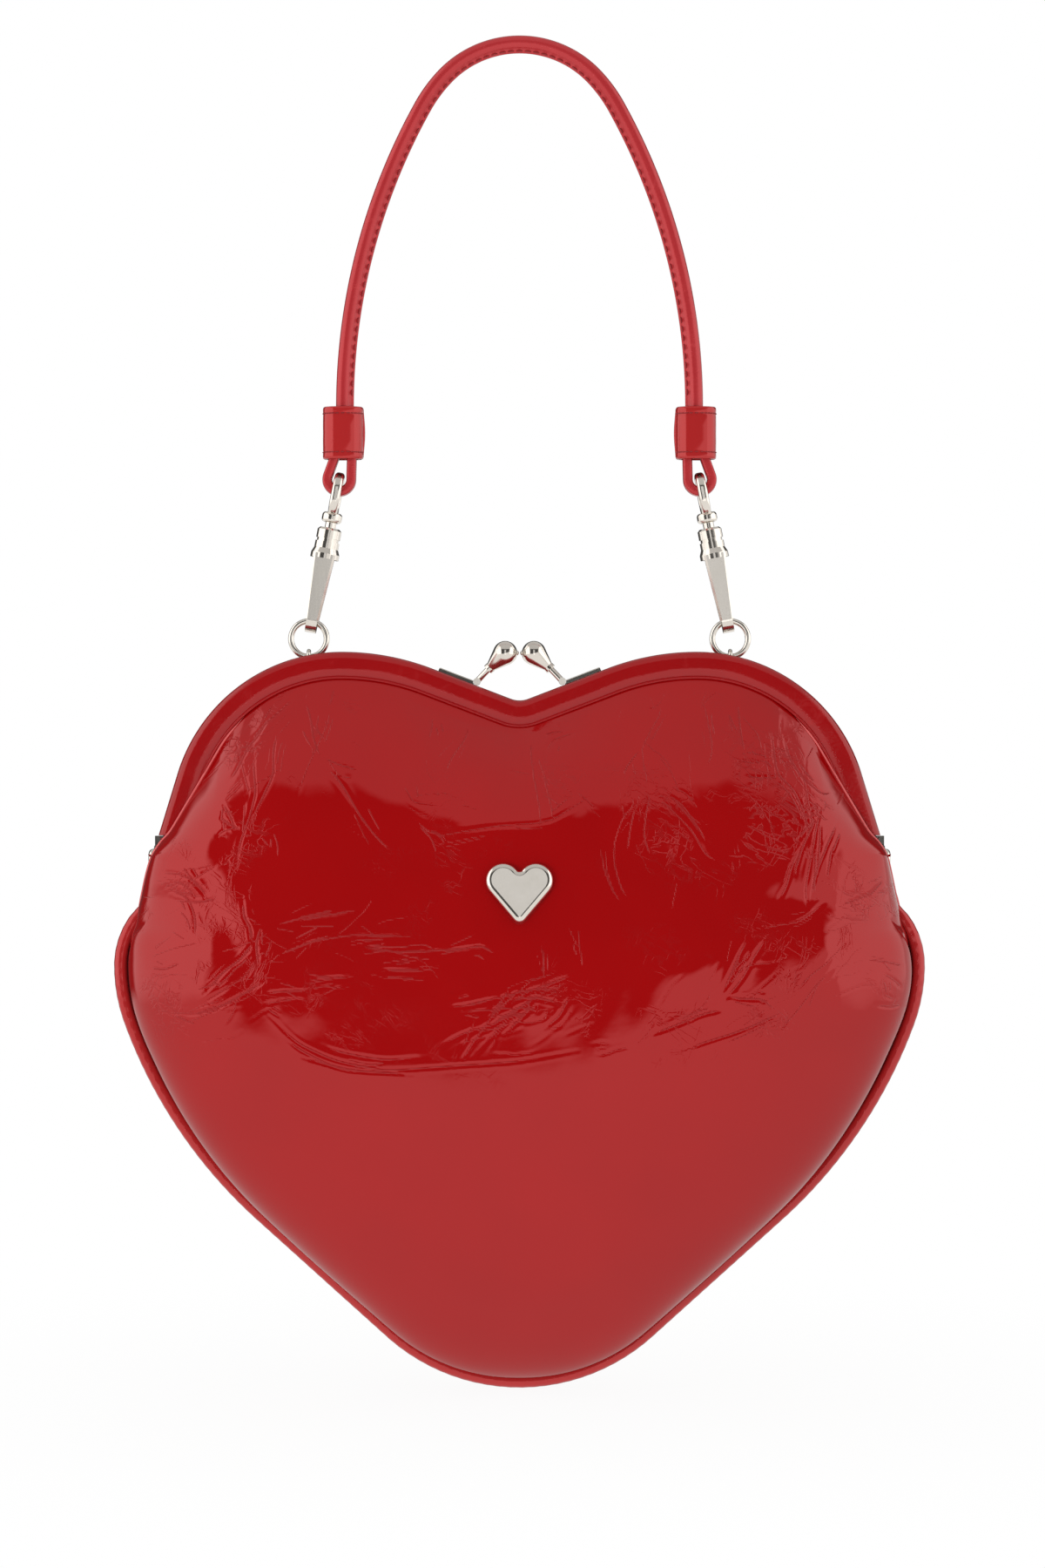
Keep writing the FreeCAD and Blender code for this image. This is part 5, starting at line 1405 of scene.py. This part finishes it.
def handle_path():
    """The whole arch from keeper to keeper, with its inward normals."""
    crown = (0, -HINGE[2])
    foot_z = hinge_mm(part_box("keeper_right")[0])[2]
    arch_end = walk(crown, 0, CROWN_LEGS, ARCH_STEP)[0][-1]
    run = [("run", arch_end[1] - foot_z - KEEPER_COVER)]
    return mirrored(*walk(crown, 0, CROWN_LEGS + run, ARCH_STEP), True)


def handle_profile():
    """Section of the roll with its flange on the inner side."""
    angles = np.radians(np.linspace(22, 338, 24))
    roll = [(ROLL_RADIUS * math.cos(a), ROLL_RADIUS * math.sin(a)) for a in angles]
    return roll + [(2.5, -0.62), (2.82, -0.5), (2.92, -0.2), (2.92, 0.2), (2.82, 0.5), (2.5, 0.62)]


def handle_stitches(path, normals):
    """The thread along both faces of the flange."""
    gaps = lengths_along(path)
    wanted = np.arange(STITCH_MARGIN, gaps[-1] - STITCH_MARGIN, STITCH_PITCH)
    places = []
    for (x, z), (nx, nz) in zip(read_off(path, gaps, wanted), read_off(normals, gaps, wanted)):
        for face in (-1, 1):
            centre = (x + nx * FLANGE_MIDDLE, STRAP_PLANE + face * FLANGE_FACE, z + nz * FLANGE_MIDDLE)
            places.append((centre, (-nz, 0, nx), (0, face, 0)))
    return stitches_object("handle_stitching", places, *HANDLE_STITCH)


arch, arch_normals = handle_path()
arch_rings = flat_sweep(arch, arch_normals, handle_profile(), STRAP_PLANE)
handle = rings_object("handle_roll", arch_rings, HANDLE_LEATHER)
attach(handle, "handle")
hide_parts("handle_wrap")
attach(handle_stitches(arch, arch_normals), "handle")
print("handle made with", len(handle.data.vertices), "vertices")

# %% [markdown]
# Keepers. A sleeve of glossy leather at each end of the handle holds the folded loop. It is a rounded tube
# with a groove near each end, where a row of stitches lies, and its seam stands out on the inner side. The
# rings below go up the outside and meet inside, so the sleeve has a wall.

# %% Keepers
SLEEVE_STEPS = (
    (-0.86, 0.78), (-1.0, 0.8), (-1.0, 0.93), (-0.97, 0.985), (-0.9, 1.0), (-0.8, 0.998), (-0.74, 0.975),
    (-0.66, 0.995), (-0.3, 1.0), (0.0, 0.995), (0.3, 1.0), (0.66, 0.995), (0.74, 0.975), (0.8, 0.998),
    (0.9, 1.0), (0.97, 0.985), (1.0, 0.93), (1.0, 0.8), (0.86, 0.78),
)
STITCH_HEIGHT, STITCHES_AROUND, GROOVE_SIZE = 0.74, 28, 0.975
KEEPER_STITCH = (1.0, 0.16)
SEAM_SHARE, SEAM_SINK, SEAM_OUT, SEAM_MORE = 0.93, 0.5, 0.6, 0.25


def oval(half_x, half_y, around=48, power=0.86):
    """Points round a slightly squared oval."""
    angles = np.linspace(0, 2 * math.pi, around, endpoint=False)
    c, s = np.cos(angles), np.sin(angles)
    x = half_x * np.sign(c) * np.abs(c) ** power
    return np.column_stack([x, half_y * np.sign(s) * np.abs(s) ** power])


def keeper_stitches(word, centre, half):
    """The threads in the sleeve's two grooves."""
    places = []
    loop = oval(half[0] * GROOVE_SIZE, half[1] * GROOVE_SIZE, STITCHES_AROUND)
    for share in (-STITCH_HEIGHT, STITCH_HEIGHT):
        for index in range(STITCHES_AROUND):
            along = loop[(index + 1) % STITCHES_AROUND] - loop[index - 1]
            along = along / np.linalg.norm(along)
            place = centre + (*loop[index], share * half[2])
            places.append((place, (*along, 0), (along[1], -along[0], 0)))
    return stitches_object("keeper_stitching_" + word, places, *KEEPER_STITCH)


def keeper_seam(side, word, centre, half):
    """The ridge on the sleeve's inner side, widest in the middle."""
    rings = []
    out = half[0] - SEAM_SINK
    for share in np.linspace(-SEAM_SHARE, SEAM_SHARE, 15):
        wide = SEAM_OUT + SEAM_MORE * math.cos(share * 2.6)
        section = [(out, -0.55), (out + wide, -0.4), (out + wide + 0.15, 0), (out + wide, 0.4), (out, 0.55)]
        rings.append([centre + (-side * x, y, share * half[2]) for x, y in section])
    return rings_object("keeper_seam_" + word, rings, HANDLE_LEATHER)


def keeper_pieces(side, word):
    """Sleeve, stitches and seam of one keeper."""
    low, high = [hinge_mm(corner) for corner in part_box("keeper_" + word)]
    centre, half = (low + high) / 2, (high - low) / 2
    rings = []
    for share, size in SLEEVE_STEPS:
        loop = oval(half[0] * size, half[1] * size)
        rings.append(np.column_stack([loop, np.full(len(loop), share * half[2])]) + centre)
    sleeve = rings_object("keeper_sleeve_" + word, rings, TRIM_PATENT, looped=True)
    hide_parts("keeper_" + word)
    for piece in (sleeve, keeper_stitches(word, centre, half), keeper_seam(side, word, centre, half)):
        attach(piece, "handle")


for side, word in SIDES:
    keeper_pieces(side, word)
print("keepers made")

# %% [markdown]
# End loops. Below each keeper a flat strap is folded through the hook's eye. It follows a drop-shaped line
# that leans with the hook, and its section is a strap with round edges. The hook's lean is read from the
# joints, so loop and hook stay in line.

# %% End loops
LOOP_BOTTOM, LOOP_TOP, LOOP_LENGTH = 3.25, 2.35, 5.6
STRAP_SECTION = ((-2.45, 0.7), (-2.25, 1.1), (-1.4, 1.3), (0, 1.36), (1.4, 1.3), (2.25, 1.1), (2.45, 0.7))


DEPTH_WAY = np.array([0, 1, 0])


def hook_axes(word):
    """Ring contact and pivot of a hook, its upward way and the way across it."""
    contact = hinge_mm(joints["ring_" + word + "_swing"]["pos_m"])
    pivot = hinge_mm(joints["eye_" + word + "_swing"]["pos_m"])
    up = (pivot - contact) / np.linalg.norm(pivot - contact)
    return contact, pivot, up, np.array([up[2], 0, -up[0]])


def strap_rings(line, section, origin, level, up, wide):
    """Rings of a section of (off the line, across the strap) along a line of (level, up) places."""
    rings = []
    for (a, b), (way_a, way_b) in zip(line, unit_ways(line)):
        rings.append([
            origin + level * (a - way_b * off) + up * (b + way_a * off) + wide * across
            for off, across in section
        ])
    return rings


def loop_line():
    """Drop-shaped middle line of the strap, open at the top."""
    lean = math.asin((LOOP_BOTTOM - LOOP_TOP) / LOOP_LENGTH)
    angles = np.linspace(math.pi - lean, 2 * math.pi + lean, 34)
    shoulder = (LOOP_TOP * math.cos(lean), LOOP_LENGTH + LOOP_TOP * math.sin(lean))
    line = [(-shoulder[0], shoulder[1] + 1.5), (-shoulder[0], shoulder[1])]
    line += [(LOOP_BOTTOM * math.cos(a), LOOP_BOTTOM * math.sin(a)) for a in angles]
    return np.array(line + [shoulder, (shoulder[0], shoulder[1] + 1.5)])


def loop_piece(word):
    """The strap through one hook's eye."""
    _, pivot, up, across = hook_axes(word)
    section = [(half, y) for y, half in STRAP_SECTION]
    section += [(-half, y) for half, y in section[::-1]]
    rings = strap_rings(loop_line(), section, pivot + up * LOOP_BOTTOM, across, up, DEPTH_WAY)
    strap = rings_object("loop_strap_" + word, rings, HANDLE_LEATHER)
    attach(strap, "handle")
    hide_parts("loop_tab_" + word)


for _, word in SIDES:
    loop_piece(word)
print("end loops made")

# %% [markdown]
# Gate springs. Behind each hook's spine a thin steel leaf presses the gate shut. When the gate opens, the
# leaf bends: its foot stays with the hook and its tip follows the gate. Here the strip is modelled as a
# mesh of its own, with its transform baked in.

# %% Gate springs
LEAF_THICKNESS, LEAF_WIDTH = 0.3, 1.8
LEAF_BACK, LEAF_TOUCH, LEAF_BEND = -1.8, 1.72, 0.45
LEAF_FOOT, LEAF_TOP, LEAF_TIP = (10.6, 15.8), 16.3, 12.35


def leaf_line():
    """Middle line of the leaf as distances behind the ring's contact and heights above it."""
    turn = np.radians(np.linspace(180, 48, 9))
    middle = LEAF_BACK + LEAF_BEND
    bend = [(middle + LEAF_BEND * math.cos(t), LEAF_TOP + LEAF_BEND * math.sin(t)) for t in turn]
    foot = [(LEAF_BACK, z) for z in np.linspace(*LEAF_FOOT, 8)]
    start = np.array(bend[-1])
    tip = np.array([LEAF_TOUCH, LEAF_TIP])
    blade = [tuple(start + (tip - start) * share) for share in np.linspace(0.12, 1, 10)]
    return np.array(foot + bend + blade)


def leaf_piece(word):
    """The leaf behind one hook's spine."""
    contact, _, up, across = hook_axes(word)
    half, thick = LEAF_WIDTH / 2, LEAF_THICKNESS / 2
    edge = thick / 2
    section = [(edge, half), (thick, half - edge), (thick, edge - half), (edge, -half)]
    section += [(-off, -x) for off, x in section]
    rings = strap_rings(leaf_line(), section, contact, DEPTH_WAY, up, across)
    leaf = rings_object("spring_leaf_" + word, rings, STEEL)
    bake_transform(leaf)
    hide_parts("gate_spring_" + word)


for _, word in SIDES:
    leaf_piece(word)
print("gate springs made")

# %% [markdown]
# Linings. Cloth lines both halves of the pouch and is gathered a little where the frame grips it. It is the
# panel's own form set further in, with small folds under the frame and slack waves below. Only the open
# purse shows it, so the grid is coarse.

# %% Linings
LINING_INSET, LINING_EDGE, LINING_THICKNESS = 2.9, 0.7, 0.4
LINING_NARROWING, LINING_STOP, LINING_FRONT, LINING_GRIP = 10, 0.35, 2.4, 0.8
LINING_GRID, LINING_SEED = (151, 91), 5
GATHERS, GATHER_RISE, GATHER_HEIGHT = 75, (2, 25), 0.13
SLACK_WAVES, SLACK_HEIGHT, SLACK_BASE = (6, 14, 40), 0.12, 0.35


def lining_sheet(columns, rows):
    """The panel's form set further in, as a grid of rows and columns."""
    angles = column_angles(columns)
    width = hinge_x - LINING_NARROWING
    low = rows_below(angles, width, LINING_STOP, LINING_INSET, lambda z: LINING_EDGE)
    x = (width - LINING_INSET) * np.sin(angles)
    top_z = np.maximum(rim_height(x, RIM_WIDTH - LINING_GRIP), FLAP_END_HEIGHT)
    top = np.column_stack([x, np.full(columns, -LINING_FRONT), top_z])
    return refine(rows_to_frame(top, low[0]) + low, rows)


def lining_piece(name, facing):
    """Gathered cloth inside one half of the pouch."""
    columns, rows = LINING_GRID
    sheet = lining_sheet(columns, rows)
    normal = outward(sheet)
    x, z = sheet[:, :, 0], sheet[:, :, 2]
    gather = np.sin(np.linspace(-1, 1, columns) * GATHERS)[None, :]
    gather = gather * ramp(z, *GATHER_RISE) * GATHER_HEIGHT
    slack = np.abs(waves(x, z, LINING_SEED, *SLACK_WAVES)) * SLACK_HEIGHT
    outer = sheet - normal * (SLACK_BASE + gather + slack)[:, :, None]
    inner = outer - normal * LINING_THICKNESS
    return shell_object(name, outer, inner, 1, facing, LINING)


front_lining = lining_piece("front_lining_cloth", 1)
follow_frame(front_lining)
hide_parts("front_lining")
back_lining = lining_piece("back_lining_cloth", -1)
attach(back_lining, "bag")
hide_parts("back_lining")
print("linings made with", len(front_lining.data.vertices), "vertices each")

# %% [markdown]
# Metal and hidden pieces. Hooks, rings, rivets, clasp and stud are hard shapes that the CAD model already
# has, so they keep their meshes. They get their plate, a white card of their own to mirror, and a narrow
# bevel on sharp edges, because a polished edge is never quite sharp and catches light.

# %% Metal and hidden pieces
PLATED = ("swivel_eye", "hook_body", "gate", "strap_ring", "ring_staple", "hinge_rivet", "clasp", "heart")
BEVELLED = ("hook_body", "gate_left", "gate_right", "clasp_foot")
EDGE_BEVEL, EDGE_ANGLE = 0.18, 35

for name, node in nodes.items():
    surface = STEEL
    if name.startswith(PLATED):
        surface = NICKEL
        if not name.startswith("clasp_foot"):
            metal_pieces.objects.link(node)
    elif "stiffener" in name:
        surface = BOARD
    elif name == "handle_core":
        surface = CORD
    node.data.materials.clear()
    node.data.materials.append(surface)
    if name.startswith(BEVELLED):
        bevel = node.modifiers.new("edge", "BEVEL")
        bevel.width = EDGE_BEVEL * MM
        bevel.segments = 2
        bevel.limit_method = "ANGLE"
        bevel.angle_limit = math.radians(EDGE_ANGLE)
print("CAD nodes finished:", len(nodes))
